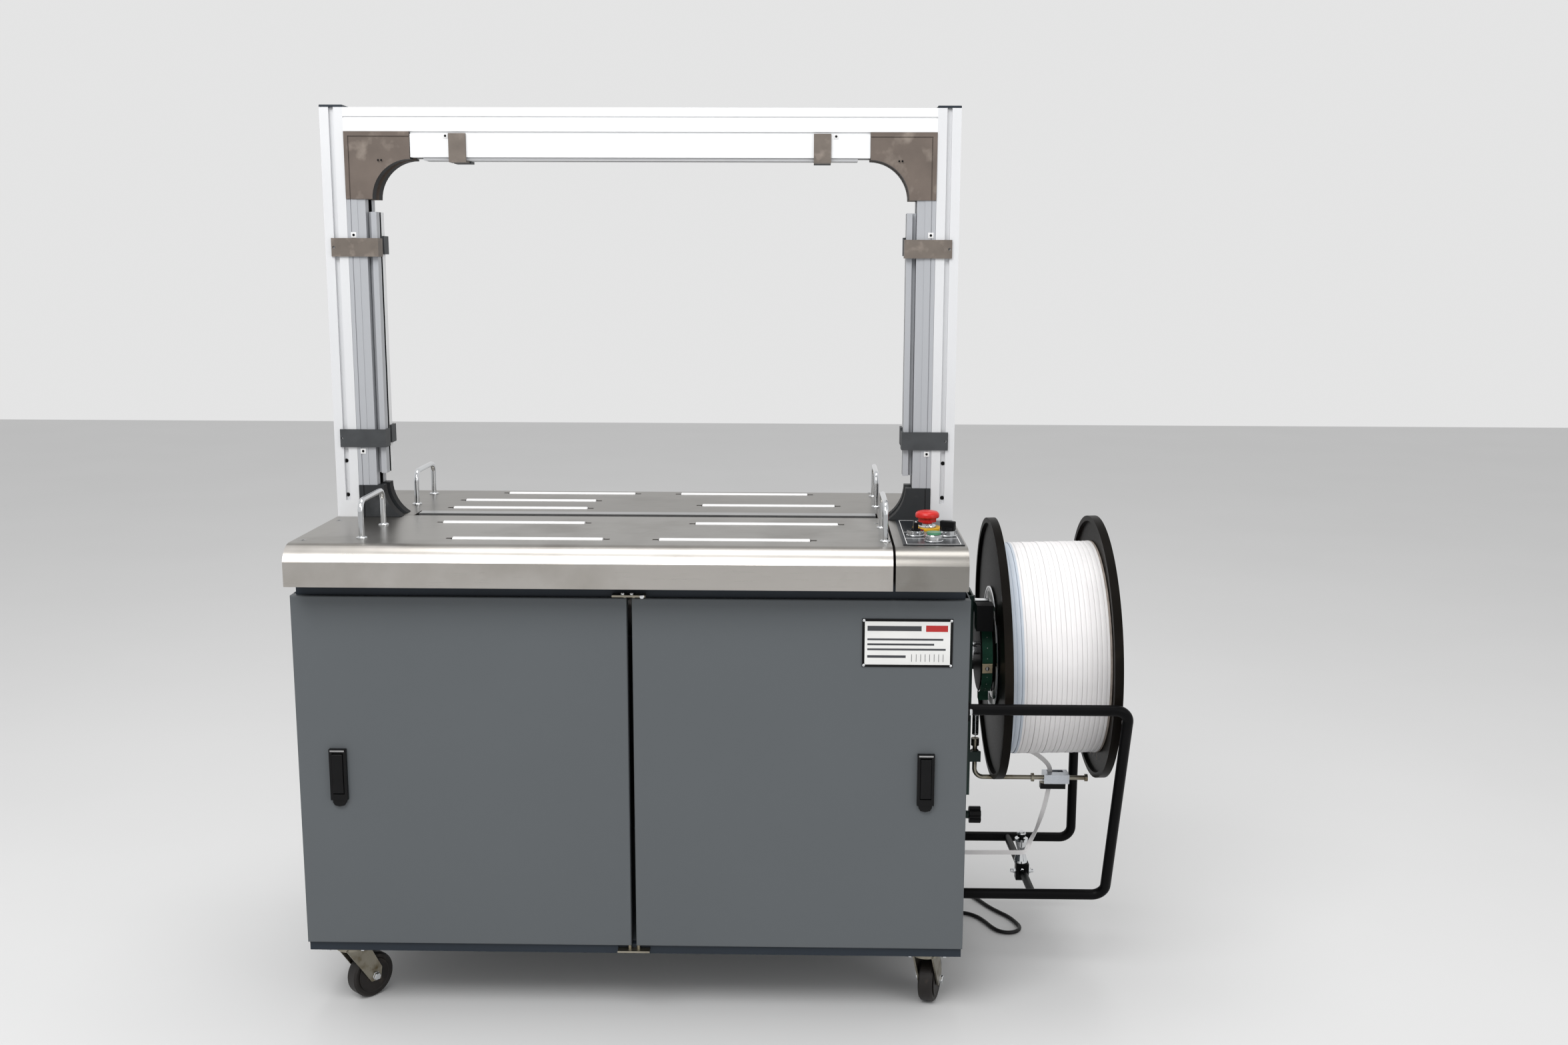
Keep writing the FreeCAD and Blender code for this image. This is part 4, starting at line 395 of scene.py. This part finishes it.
def studio():
    world = bpy.data.worlds.new("studio")
    scene.world = world
    world.use_nodes = True
    sky = world.node_tree.nodes["Background"]
    sky.inputs["Color"].default_value = (1, 1, 1, 1)
    sky.inputs["Strength"].default_value = 0.78
    area_light("key", (-0.8, -2.4, 3.2), (0, 0, 0.9), 2.2, 1.6, 80)
    area_light("fill", (2.6, -2.4, 1.8), (0, 0, 0.7), 1.8, 1.8, 16)
    area_light("over", (0, 0.2, 4.0), (0, 0, 0.8), 2.6, 1.6, 45)
    scene.view_settings.view_transform = "Standard"
    reach, drop = 9, -0.0004
    mesh = bpy.data.meshes.new("floor")
    mesh.from_pydata([(-reach, -reach, drop), (reach, -reach, drop), (reach, reach, drop),
                      (-reach, reach, drop)], [], [(0, 1, 2, 3)])
    mesh.materials.append(floor_pale)
    floor = bpy.data.objects.new("floor", mesh)
    scene.collection.objects.link(floor)


# ---------------------------------------------------------------- finishes on the CAD nodes

def from_stop(centre):
    """Distance of a point from the emergency stop's axis in mm."""
    return math.hypot(centre.x - STOP[0], centre.y - STOP[1])


def finish_nodes():
    """One finish per CAD node, then the faces of a node that differ from the rest of it."""
    finishes = {
        "base_frame": dark_paint, "cabinet_shell": shell_paint, "top_frame": dark_paint, "hinge_plates": zinc,
        "nameplate": plastic_black, "left_door": door_paint, "right_door": door_paint,
        # The rear table cover gets the darker copy of the brushed sheet, painted shade.
        "left_latch_handle": plastic_black, "right_latch_handle": plastic_black,
        "front_table_cover": steel, "rear_table_cover": steel_rear_painted_shade, "control_box": steel,
        "guard_handles": chrome, "control_plate": legend_plate, "estop_button": red_plastic,
        "start_button": green_plastic,
        # The chute rails get the lighter aluminium copy (painted light) and the side flaps get the darker
        # copy (painted shade).
        "toggle_lever": plastic_black, "selector_knob": plastic_black, "arch_frame": white_alu,
        "corner_brackets": bracket_mould, "chute_rails": beam_alu_painted_lit, "left_flap": rail_alu_painted_shade,
        "right_flap": rail_alu_painted_shade, "top_flap": white_alu, "left_clips": clip_mould, "right_clips": clip_mould,
        "top_clips": clip_mould, "rear_clips": clip_dark, "strapping_head": machined,
        "reel_bracket": bracket_green, "brake_band": belt_green, "reel_spool": reel_face,
        "strap_roll": strap_white, "reel_stand": tube_black, "guide_roller": chrome, "dancer_arm": zinc,
        "dancer_spring": zinc, "tension_knob": plastic_black, "cord_gland": plastic_black,
        "power_plug": plastic_black, "strap_run": strap_white, "power_cord": cord_sheath,
        "power_cord_coil": cord_sheath}
    for corner in CORNERS:
        finishes["caster_fork_" + corner] = zinc
        finishes["caster_wheel_" + corner] = wheel_brown
    for number in range(1, 10):
        finishes["table_roller_%d" % number] = print_white
    for name, mat in finishes.items():
        paint(name, mat)
    # Faces of the arch frame between the posts get the lighter copy: painted light on the top beam.
    paint_faces("arch_frame", beam_alu_painted_lit, lambda c, n: abs(c.x) < 482.5)
    paint_faces("corner_brackets", foot_mould, lambda c, n: c.z < 860)
    # Inward-facing sides of the corner brackets get painted shade.
    paint_faces("corner_brackets", black_painted_shade,
                lambda c, n: abs(c.x) < 480 and abs(n.y) < 0.5 and 792 < c.z < 1426 and n.x * c.x < 0)
    paint_faces("corner_brackets", dark_paint, lambda c, n: c.z > 1464)
    paint_faces("control_plate", chrome, lambda c, n: c.z > PANEL_TOP + 0.1 and from_stop(c) > 24)
    paint_faces("control_plate", yellow_disc,
                lambda c, n: PANEL_TOP + 0.1 < c.z < PANEL_TOP + 4 and 14 < from_stop(c) < 24)
    for side in ("left", "right"):
        paint_faces(side + "_clips", clip_dark, lambda c, n: c.z < 1000)
        paint_faces(side + "_door", plastic_black,
                    lambda c, n: c.y < DOOR_FACE - 0.3 and abs(abs(c.x) - LATCH_X) < 16 and 360 < c.z < 460)
    # Faces inside the chute's slot get painted shade.
    paint_faces("chute_rails", slot_painted_shade, lambda c, n: abs(c.y) < 9.5 and c.z > 850)
    paint_faces("reel_bracket", chrome, lambda c, n: c.x > 561.5 and abs(c.z - 560) < 25)
    paint_faces("reel_bracket", block_black, lambda c, n: c.x > 561.2 and 608 < c.z < 658)
    paint_faces("reel_bracket", chrome, lambda c, n: c.x > 561.2 and c.z > 658.5)
    # Side chute rails outside the slot get the darker aluminium copy: painted shade.
    paint_faces("chute_rails", rail_alu_painted_shade, lambda c, n: abs(c.x) > 440 and c.z < 1330 and abs(c.y) > 9.5)
    # Forward-facing faces of the front lip get painted light.
    paint_faces("front_table_cover", steel_lip_painted_lit, lambda c, n: n.y < -0.35 and c.y < -270)
    paint_faces("dancer_arm", eye_alu, lambda c, n: abs(c.x - 717) < 23 and 316 < c.z < 334)
    paint_faces("dancer_arm", plastic_black, lambda c, n: 686 < c.x < 735 and c.z < 316.5)


# ---------------------------------------------------------------- mains lead

def mains_lead():
    """The lead from the gland, six loose turns round the middle of the coil, and the end in the plug."""
    out = [(470, 110, 91.9), (470, 110, 73), (474, 110, 51), (485, 112, 30), (502, 119, 13), (526, 136, 5),
           (551, 155, 3.8), (577, 160, 3.8), (599, 145, 3.8), (613, 121, 3.8), (622, 98, 3.8),
           (634, 79, 3.8), (652, 73, 3.8), (669, 81, 3.8), (676, 98.5, 3.8), (670, 120, 3.8),
           (660, 143, 3.8), (644, 163, 3.8), (627, 187, 3.8), (612, 218, 3.8), (590, 254, 3.8),
           (556, 287, 3.8), (510, 314, 3.8), (460, 331, 3.8), (410, 344, 3.8), (366, 361, 3.8),
           (336, 377, 3.8), (318, 389, 3.8), (310, 404, 3.8)]
    turns = []
    per_turn, loops, coil_r, lay_r = 16, 6, 40, 8.1
    coil_x, coil_y, coil_z = 262, 420, 11.7
    for step in range(1, loops * per_turn + 2):
        angle = 2 * math.pi * step / per_turn
        lay = math.radians(-60 - 51.43 * step / per_turn)
        reach = (coil_r + lay_r * math.cos(lay)) * 1.019
        turns.append((coil_x + reach * math.cos(angle), coil_y + reach * math.sin(angle),
                      coil_z + lay_r * math.sin(lay)))
    back = [(303, 449, 9.5), (300, 460, 6.5), (300.5, 472, 4.2), (308, 487, 3.8), (325, 502, 3.8),
            (354, 508, 3.8)]
    curve = bpy.data.curves.new("mains_cord", "CURVE")
    curve.dimensions = "3D"
    curve.bevel_depth = 0.0035
    curve.bevel_resolution = 4
    curve.resolution_u = 6
    curve.use_fill_caps = True
    spline = curve.splines.new("NURBS")
    places = out + turns + back
    spline.points.add(len(places) - 1)
    for point, place in zip(spline.points, places):
        point.co = tuple(at(*place)) + (1,)
    spline.order_u = 3
    spline.use_endpoint_u = True
    curve.materials.append(cord_sheath)
    obj = bpy.data.objects.new("mains_cord", curve)
    scene.collection.objects.link(obj)
    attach(obj, "machine")
    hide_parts("power_cord", "power_cord_coil")


# ---------------------------------------------------------------- reel

def strap_windings():
    """The wound strap: one ridge per turn, a stretch of painted bluish shade at the left and a worn right
    edge.
    """
    low, high, core, outer = 40.7, 210.7, 98.4, 182.6
    count = 21
    pitch = (high - low) / count
    rows = [(core, low)]
    for k in range(count):
        edge = low + k * pitch
        swell = 0.5 * math.sin(k * 2.3)
        rows += [(outer - 1.7, edge), (outer - 0.5 + swell, edge + 0.5),
                 (outer + swell * 0.4, edge + pitch / 2), (outer - 0.5 + swell, edge + pitch - 0.5),
                 (outer - 1.7, edge + pitch)]
    rows.append((core, high))
    roll = lathe("strap_winding", rows, REEL, "reel_body", strap_white, "strap", AXLE, 128, True)
    roll.data.materials.append(strap_blue_painted_shade)
    roll.data.materials.append(strap_worn)
    for poly in roll.data.polygons:
        along = (poly.center - REEL).dot(AXLE) * 1000
        # The bluish band at the left is painted shade.
        if low + 1.0 * pitch < along < low + 3.3 * pitch:
            poly.material_index = 1
        elif along > high - 0.4 * pitch:
            poly.material_index = 2
    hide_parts("strap_roll")


def reel_details():
    """Rims and hub of the spool with painted highlights on the hub's windows, the brake belt's edges, rivets
    painted as white highlights, the clamp, and the axle's cap.
    """
    for tag, along in (("left", 38.5), ("right", 212.5)):
        ring = [(221.4 + 4.5 * math.cos(a * math.pi / 8), along + 6.9 * math.sin(a * math.pi / 8))
                for a in range(16)]
        lathe("flange_rim_" + tag, ring, REEL, "reel_body", reel_gloss, "black_gloss", AXLE, 128, True)
    lathe("hub_disc", [(76, 34), (104, 34), (106, 34.6), (106.4, 35.6), (106, 36.6), (104, 37), (76, 37)],
          REEL, "reel_body", reel_gloss, "black_gloss", AXLE, 96, True)
    lathe("hub_disc_rim", [(105, 33.4), (107, 33.2), (107.6, 34.6), (107, 36.2), (105, 36)], REEL,
          "reel_body", chrome, "chrome", AXLE, 96, True)
    side, up, along = basis(AXLE)
    parts = []
    windows, steps, inner, outer, back, front = 6, 10, 0.087, 0.0985, 0.0339, 0.0334
    for k in range(windows):
        verts = []
        for step in range(steps + 1):
            angle = math.radians(60 * k + 7 + 34 * step / steps)
            out = side * math.cos(angle) + up * math.sin(angle)
            verts += [REEL + along * depth + out * reach for reach, depth in
                      ((inner, back), (inner, front), (outer, front), (outer, back))]
        end = 4 * steps
        faces = [(a + edge, a + edge + 1, a + edge + 5, a + edge + 4)
                 for edge in range(3) for a in range(0, end, 4)]
        faces += [(0, 3, 2, 1), (end, end + 1, end + 2, end + 3)]
        parts.append((verts, faces))
    # Matte white on the hub's windows is a painted highlight in place of their chrome glare.
    add_mesh("hub_windows_painted_highlight", *join(parts), "reel_body", print_white, "chrome")
    parts = []
    for edge in (11.9, 30.1):
        ring = [(75.2 + 0.5 * math.cos(a * math.pi / 3), edge + 0.5 * math.sin(a * math.pi / 3))
                for a in range(6)]
        parts.append(turned(ring, REEL, AXLE, 96, True))
    add_mesh("belt_edges", *join(parts), "machine", chrome, "chrome")
    parts = []
    rivets, belt_mid, belt_r = 26, along * 0.021, 0.075
    for k in range(rivets):
        angle = 2 * math.pi * k / rivets
        spot = REEL + belt_mid + (side * math.cos(angle) + up * math.sin(angle)) * belt_r
        parts.append(turned([(0.8, 0), (0.7, 0.3), (0, 0.4)], spot, spot - REEL - belt_mid, 10))
    # Matte white on the rivets is a painted highlight in place of their metal glint.
    add_mesh("belt_rivets_painted_highlight", *join(parts), "machine", print_white, "chrome")
    lathe("axle_end_cap", [(11.9, 0), (13.6, 0.4), (13.6, 2.6), (12.4, 3.6), (0, 3.9)],
          REEL + along * 0.2262, "machine", chrome, "chrome", AXLE, 40)
    belt_clamp(along)


def belt_clamp(along):
    """The square plate with a round screw that holds the belt's end on its front."""
    tilt = math.radians(13)
    out = Vector((0, -math.cos(tilt), -math.sin(tilt)))
    turn = AXLE.cross(out).normalized()
    spot = REEL + along * 0.021 + out * 0.0757
    half = 0.0088
    plate = []
    for lift, grow in ((0.0, 1.0), (0.0014, 1.0), (0.0018, 0.94)):
        plate += [spot + out * lift + along * half * grow * a + turn * half * grow * b
                  for a, b in ((-1, -1), (1, -1), (1, 1), (-1, 1))]
    faces = [(3, 2, 1, 0), (8, 9, 10, 11)]
    for base in (0, 4):
        faces += [(base + k, base + (k + 1) % 4, base + 4 + (k + 1) % 4, base + 4 + k) for k in range(4)]
    add_mesh("belt_clamp", plate, faces, "machine", beige_plate, "chrome")
    screw = turned([(3.6, 0), (3.5, 0.9), (2.4, 1.5), (0, 1.7)], spot + out * 0.0018, out, 20)
    add_mesh("belt_clamp_screw", *screw, "machine", machined, "chrome")


def strap_frays():
    """A few loose strands at the roll's worn right edge."""
    side, up, along = basis(AXLE)
    rng = random.Random(5)
    parts = []
    for k in range(7):
        angle = math.radians(-60 - 9 * k)
        out = side * math.cos(angle) + up * math.sin(angle)
        turn = up * math.cos(angle) - side * math.sin(angle)
        base = REEL + along * (0.2099 - 0.0002 * k) + out * 0.1805
        spots = [base + turn * 0.007 * t + out * 0.0022 * t * t * rng.uniform(0.5, 0.8) for t in range(4)]
        parts.append(swept(spots, 0.35, 6))
    add_mesh("strap_frays", *join(parts), "reel_body", strap_worn, "strap")


def strap_line():
    """The flat strap from the roll through the arm's eye, round the guide roller and into the cabinet."""
    gx, gy, gz, off = 661, 20, 187, 10.1
    x, y, eye = 708.5, 23.5, 326
    across, down = Vector((1, 0, 0)), Vector((0, 0, -1))
    stations = [((x - 42, y, eye + 47), Vector((0.5, 0, 0.86))),
                ((x - 21, y, eye + 35), Vector((0.55, 0, 0.83))),
                ((x - 3, y, eye + 17), Vector((0.9, 0, 0.4))), ((x, y, eye), across),
                ((x - 2, y, eye - 26), across), ((x - 9, y, eye - 62), Vector((1, -0.2, 0))),
                ((gx + 26, gy + 3, gz + 36), Vector((0.35, -0.9, -0.3))),
                ((gx + off + 5, gy + 3, gz + 12), Vector((0.2, -0.5, -1))),
                ((gx + off + 0.4, gy - 3, gz + 2), down), ((gx + off * 0.65, gy - off * 0.85, gz), down),
                ((gx, gy - off - 0.8, gz - 0.6), down), ((gx - off * 1.3, gy - off - 0.6, gz - 1), down),
                ((517, gy - 1, gz - 6), down)]
    spots = [Vector(place) for place, wide in stations]
    verts, faces, rings = [], [], []
    steps, half_w, half_t = 16, 4, 0.4
    last = len(stations) - 1
    for index in range(last * steps + 1):
        k = min(index // steps, last - 1)
        t = index / steps - k
        a, b, c, d = spots[max(k - 1, 0)], spots[k], spots[k + 1], spots[min(k + 2, last)]
        span = (c - b).length
        lead, leave = (c - a).normalized() * span, (d - b).normalized() * span
        centre = (b * (2 * t ** 3 - 3 * t ** 2 + 1) + lead * (t ** 3 - 2 * t ** 2 + t)
                  + c * (3 * t ** 2 - 2 * t ** 3) + leave * (t ** 3 - t ** 2))
        along = (b * (6 * t * t - 6 * t) + lead * (3 * t * t - 4 * t + 1) + c * (6 * t - 6 * t * t)
                 + leave * (3 * t * t - 2 * t)).normalized()
        wide = stations[k][1] * (1 - t) + stations[k + 1][1] * t
        wide = (wide - along * wide.dot(along)).normalized()
        w, h = wide * half_w, along.cross(wide) * half_t
        rings.append(list(range(len(verts), len(verts) + 4)))
        verts += [at(*(centre + corner)) for corner in (-w - h, w - h, w + h, -w + h)]
    for low, high in zip(rings, rings[1:]):
        for k in range(4):
            n = (k + 1) % 4
            faces.append((low[k], low[n], high[n], high[k]))
    faces += [tuple(reversed(rings[0])), tuple(rings[-1])]
    band = add_mesh("strap_ribbon", verts, faces, "machine", strap_white, "strap", 60)
    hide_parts("strap_run")


def arm_spring():
    """Close-wound extension spring with an eye at each end, stretched between the machine and the arm."""
    x, y, top, bottom = 573, 10, 440.0, 404.0
    turns, per_turn, coil_r = 22, 16, 5.1
    spots = [at(x, y, 445.3), at(x, y, 442.6)]
    for k in range(turns * per_turn + 1):
        angle = 2 * math.pi * k / per_turn
        z = top - (top - bottom) * k / (turns * per_turn)
        spots.append(at(x + coil_r * math.cos(angle), y + coil_r * math.sin(angle), z))
    spots += [at(x, y, 401.5), at(x, y, 397.9)]
    coil = add_mesh("arm_spring", *swept(spots, 0.75, 8), None, chrome, "zinc")
    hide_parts("dancer_spring")
    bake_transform(coil)


# ---------------------------------------------------------------- switches

def panel_details():
    """The stop with its disc and collar, rings round the switches, and plain lines instead of legends."""
    lathe("stop_head", [(0, 0), (8.1, 0), (8.1, 3.4), (14.6, 3.4), (14.6, 9.6), (18.4, 10.2), (19.4, 11.4),
                        (19.4, 15.2), (18.6, 17.6), (16.2, 19.6), (12, 20.8), (6, 21.5), (0, 21.7)],
          at(*STOP, 801.7), "stop_body", red_plastic, "red_plastic", UP, 56)
    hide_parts("estop_button")
    lathe("stop_neck", [(8.1, 785), (8.1, 801.9)], at(*STOP, 0), "stop_body", chrome, "chrome")
    lathe("stop_disc", [(14.8, 0), (23.2, 0), (23.4, 0.3), (23, 0.7), (14.8, 0.7)], at(*STOP, PANEL_TOP + 3),
          "machine", yellow_disc, "panel", UP, 56, True)
    lathe("stop_collar", [(8.8, 0), (14.2, 0), (14.4, 1), (13.6, 3.2), (9.2, 3.4)],
          at(*STOP, PANEL_TOP + 3.8), "machine", chrome, "chrome", UP, 48, True)
    for tag, place in (("toggle", TOGGLE), ("dial", DIAL), ("start", START)):
        lathe(tag + "_bezel", [(13.6, 0), (14.4, 0.2), (14.6, 1.4), (13.8, 2.2), (13.6, 2.2)],
              at(*place, PANEL_TOP + 0.1), "machine", chrome, "chrome", UP, 48, True)
    lathe("start_ring", [(11.4, 0), (12.8, 0), (13.1, 0.8), (12.6, 1.8), (11.4, 1.8)],
          at(*START, PANEL_TOP + 9.1), "machine", chrome, "chrome", UP, 48, True)
    panel_lines()
    slab("toggle_mark", (447.2, -192.6, 815.45), (448.8, -183, 815.75), "toggle_body", print_white, "panel",
         0)


def panel_lines():
    """A frame and two dividers on the plate, a short bar by each switch and dots round the dial."""
    left, right, front, back = 430, 513, -257, -41

    def bar(x0, y0, x1, y1):
        return cuboid((x0, y0, PANEL_TOP), (x1, y1, PRINT_TOP), 0)

    parts = [bar(left, y - 0.5, right, y + 0.5) for y in (-152, -207)]
    parts += [bar(x - 0.5, front, x + 0.5, back) for x in (left, right)]
    parts += [bar(left, y - 0.5, right, y + 0.5) for y in (front, back)]
    for x, y in ((TOGGLE[0], -163), (DIAL[0], -163), (START[0], -213), (STOP[0], -88), (STOP[0], -92)):
        parts.append(bar(x - 4, y, x + 4, y + 1.2))
    for k in range(5):
        angle = math.radians(30 + 30 * k)
        cx, cy = DIAL[0] + 18 * math.cos(angle), DIAL[1] + 18 * math.sin(angle)
        parts.append(bar(cx - 0.7, cy - 0.7, cx + 0.7, cy + 0.7))
    add_mesh("panel_lines", *join(parts), "machine", print_white, "panel")


def nameplate_details():
    """The plate on the right door, with plain bars and a stripe where the print would be."""
    slab("plate_face", (367, -257, 601), (500, -256.4, 670), "right_door_body", label_white, "label", 0.2)
    parts = [cuboid((371, -257.2, z), (371 + w, -256.9, z + h), 0)
             for z, w, h in ((655, 84, 8), (640, 118, 3), (632, 104, 3), (624, 122, 3), (612, 60, 4))]
    parts += [cuboid((x, -257.2, 606), (x + 0.7, -256.9, 618), 0) for x in range(440, 496, 7)]
    add_mesh("plate_bars", *join(parts), "right_door_body", print_dark, "label")
    slab("plate_stripe", (462, -257.2, 654), (496, -256.9, 664), "right_door_body", print_red, "label", 0)
    parts = [turned([(2.2, 0), (2.0, 0.8), (1.1, 1.3), (0, 1.5)], at(x, -256.4, z), FRONT, 16)
             for x in (365.6, 501.4) for z in (599.6, 671.4)]
    add_mesh("plate_rivets", *join(parts), "right_door_body", chrome, "chrome")


# ---------------------------------------------------------------- arch

def arch_details():
    """Holes in the grooves as discs of painted shade, the clips' square plates with painted shade in their
    holes, the flaps' pins with painted shade in their eyes, and the brackets' marks as dots of painted shade.
    """
    parts = []
    for x, z in ((-504, 886), (-504, 828), (503, 887), (503, 828.5)):
        parts.append(turned([(3.4, 0), (3.4, 0.3), (0, 0.3)], at(x, -22.2, z), FRONT, 24))
    # Black discs of painted shade stand in for the holes.
    add_mesh("groove_holes", *join(parts), "machine", black_painted_shade, "aluminium")
    plates, holes = [], []
    for x, z, half, hole_r in ((-473, 1261, 4.5, 2.2), (475, 1263, 4.5, 2.2), (-473, 903, 4.5, 2.2),
                               (475, 903, 4.5, 2.2), (-316.4, 1419.8, 4, 2), (319, 1420, 4, 2)):
        plates.append(cuboid((x - half, -28.8, z - half), (x + half, -27.4, z + half), 0.3))
        holes.append(turned([(hole_r, 0), (hole_r, 0.15), (0, 0.15)], at(x, -28.8, z), FRONT, 16))
    add_mesh("clip_plates", *join(plates), "machine", print_white, "aluminium")
    # The plates' holes are discs of painted shade.
    add_mesh("clip_plate_holes", *join(holes), "machine", black_painted_shade, "aluminium")
    heights = (1261, 1220, 945, 904)
    for body, x in (("left_flap_body", -457.5), ("right_flap_body", 457.5)):
        pins = [turned([(3.2, 0), (3.2, 4.6), (2.6, 5.2), (0, 5.4)], at(x, -12, z), FRONT, 24)
                for z in heights]
        eyes = [turned([(1.5, 0), (1.5, 0.12), (0, 0.12)], at(x, -17.4, z), FRONT, 16) for z in heights]
        add_mesh(body + "_pins", *join(pins), body, chrome, "chrome")
        # The pins' eyes are discs of painted shade.
        add_mesh(body + "_pin_eyes", *join(eyes), body, black_painted_shade, "clip_rubber")
    parts = []
    for x in (-424 - 2.6, -424 + 2.6, 424 - 2.6, 424 + 2.6):
        parts.append(turned([(1.6, 0), (1.6, 0.3), (0, 0.3)], at(x, -32.2, 1381), FRONT, 16))
    # The brackets' marks are dots of painted shade.
    add_mesh("bracket_marks", *join(parts), "machine", black_painted_shade, "grey_plastic")


# ---------------------------------------------------------------- table, doors, cabinet

def table_screws():
    """Six cross-headed screws in the covers, their cross recesses filled with painted shade, and a foot ring
    under each end of the hand loops.
    """
    heads, crosses = [], []
    for x, y in ((-506.7, -250.3), (-506.6, -69.4), (392.5, -66.8), (395.4, 97.7), (391.7, 269.7),
                 (-507.1, 268.5)):
        head, cross = cross_head(at(x, y, TABLE_TOP), UP, 5.2, 0.35)
        heads.append(head)
        crosses.append(cross)
    add_mesh("table_screws", *join(heads), "machine", machined, "chrome")
    # The cross recesses are flat crosses of painted shade.
    add_mesh("table_screw_crosses", *join(crosses), "machine", black_painted_shade, "chrome")
    rings = []
    for x in (-421, 398):
        for y in (-229, -107, 107, 229):
            rings.append(turned([(4.6, 0), (8.4, 0), (8.4, 1.2), (7.2, 2.4), (5.4, 3.2), (4.6, 3.2)],
                                at(x, y, TABLE_TOP + 0.1), UP, 32, True))
    add_mesh("handle_feet", *join(rings), "machine", chrome, "chrome")


def door_details():
    """Nose and cap of each latch, the upper hinge pins' heads and the hinge plate's screw."""
    hood = [(-11, 0), (-10.4, -7), (-7.6, -11.6), (0, -13.4), (7.6, -11.6), (10.4, -7), (11, 0)]
    hood_z, hood_back, hood_front = 374.5, -255.2, -260.4
    n = len(hood)
    for tag, x in (("left", -LATCH_X), ("right", LATCH_X)):
        body = tag + "_door_body"
        verts = [at(x + a, y, hood_z + b) for y in (hood_back, hood_front) for a, b in hood]
        faces = [tuple(reversed(range(n))), tuple(range(n, 2 * n))]
        faces += [(k, (k + 1) % n, n + (k + 1) % n, n + k) for k in range(n)]
        add_mesh("latch_nose_" + tag, verts, faces, body, plastic_black, "black_plastic")
        slab("latch_cap_" + tag, (x - 11.4, -263.4, 452.6), (x + 11.4, -262.1, 455.2), body, machined,
             "chrome", 0.3)
    pins = [turned([(3.9, 0), (3.9, 2.4), (2.8, 3.6), (0, 3.8)], at(x, -256, 709.6), UP, 20)
            for x in (-9.4, 4.5)]
    add_mesh("hinge_pin_heads", *join(pins), "machine", chrome, "chrome")
    lathe("hinge_screw", [(3.4, 0), (3.4, 1.6), (2.2, 2.4), (0, 2.6)], at(21, -262.1, 708), "machine", chrome,
          "chrome", FRONT, 20)


def caster_details():
    """Axle bolts on the fork, rims and hubs on the wheel, and nuts under the top plate of each caster."""
    for corner in CORNERS:
        low, high = (Vector(v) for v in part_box("caster_wheel_" + corner))
        centre = (low + high) / 2
        king_x = -CASTER_X if corner.endswith("left") else CASTER_X
        king_y = -CASTER_Y if corner.startswith("front") else CASTER_Y
        king = at(king_x, king_y, 100)
        trail = Vector((centre.x - king.x, centre.y - king.y, 0)).normalized()
        axis = Vector((-trail.y, trail.x, 0))
        bolts = []
        for way in (-1, 1):
            out = axis * way
            bolts.append(turned([(7.4, 0), (7.4, 0.9), (6.4, 1.1), (6.4, 4.6), (5.6, 5.4), (0, 5.6)],
                                centre + out * 0.0176, out, 6 if way < 0 else 24))
        add_mesh("caster_bolts_" + corner, *join(bolts), "fork_" + corner, chrome, "chrome")
        rims = []
        for way in (-1, 1):
            out = axis * way
            rims.append(turned([(26, 0), (28, 0.5), (28.6, 0.2), (28.6, -0.4), (26, -0.4)],
                               centre + out * 0.0131, out, 48, True))
            rims.append(turned([(9, 0), (9, 0.9), (7.4, 1.3), (5.4, 1.3), (5.4, 0)], centre + out * 0.0130,
                               out, 32, True))
        add_mesh("wheel_rims_" + corner, *join(rims), "wheel_" + corner, wheel_brown, "wheel")
        nuts = []
        for dx in (-28, 28):
            for dy in (-28, 28):
                nuts.append(turned([(4.6, 0), (4.6, -3.4), (3.9, -4.2), (0, -4.2)],
                                   at(king_x + dx, king_y + dy, 107.9), UP, 6))
        add_mesh("plate_nuts_" + corner, *join(nuts), "machine", chrome, "zinc")


def stand_details():
    """Bolts of the stand's four flanges, and bolts and cap of the guide roller's holder."""
    bolts = [turned([(5.6, 0), (5.6, 3.2), (4.8, 4.0), (0, 4.2)], at(CABINET_SIDE + 3.1, y + dy, z),
                    (1, 0, 0), 6)
             for y, z in ((-232, 522), (-100, 156), (232, 470), (232, 128)) for dy in (-12.5, 12.5)]
    add_mesh("stand_bolts", *join(bolts), "machine", chrome, "chrome")
    bolts = []
    for side, reach in ((-1, 9), (1, 14)):
        spot = at(661 + side * reach, 20, 148)
        bolts.append(turned([(5, 0), (5, 3.6), (4.2, 4.4), (0, 4.6)], spot, (side, 0, 0), 6))
        bolts.append(turned([(3.4, 4), (3.4, 8.2), (2.6, 9), (0, 9)], spot, (side, 0, 0), 16))
    bolts.append(turned([(3.2, 0), (3.2, 1.2), (2.2, 2), (0, 2.1)], at(663, 10.9, 152), FRONT, 16))
    add_mesh("guide_bolts", *join(bolts), "machine", chrome, "chrome")
    lathe("guide_cap", [(7.2, 0), (8, 0.8), (7.4, 3.4), (4.6, 4.8), (0, 5.1)], at(661, 20, 216.9), "machine",
          chrome, "chrome", UP, 32)


finish_nodes()
look()
studio()
mains_lead()
strap_windings()
reel_details()
strap_frays()
strap_line()
arm_spring()
panel_details()
nameplate_details()
arch_details()
table_screws()
door_details()
caster_details()
stand_details()
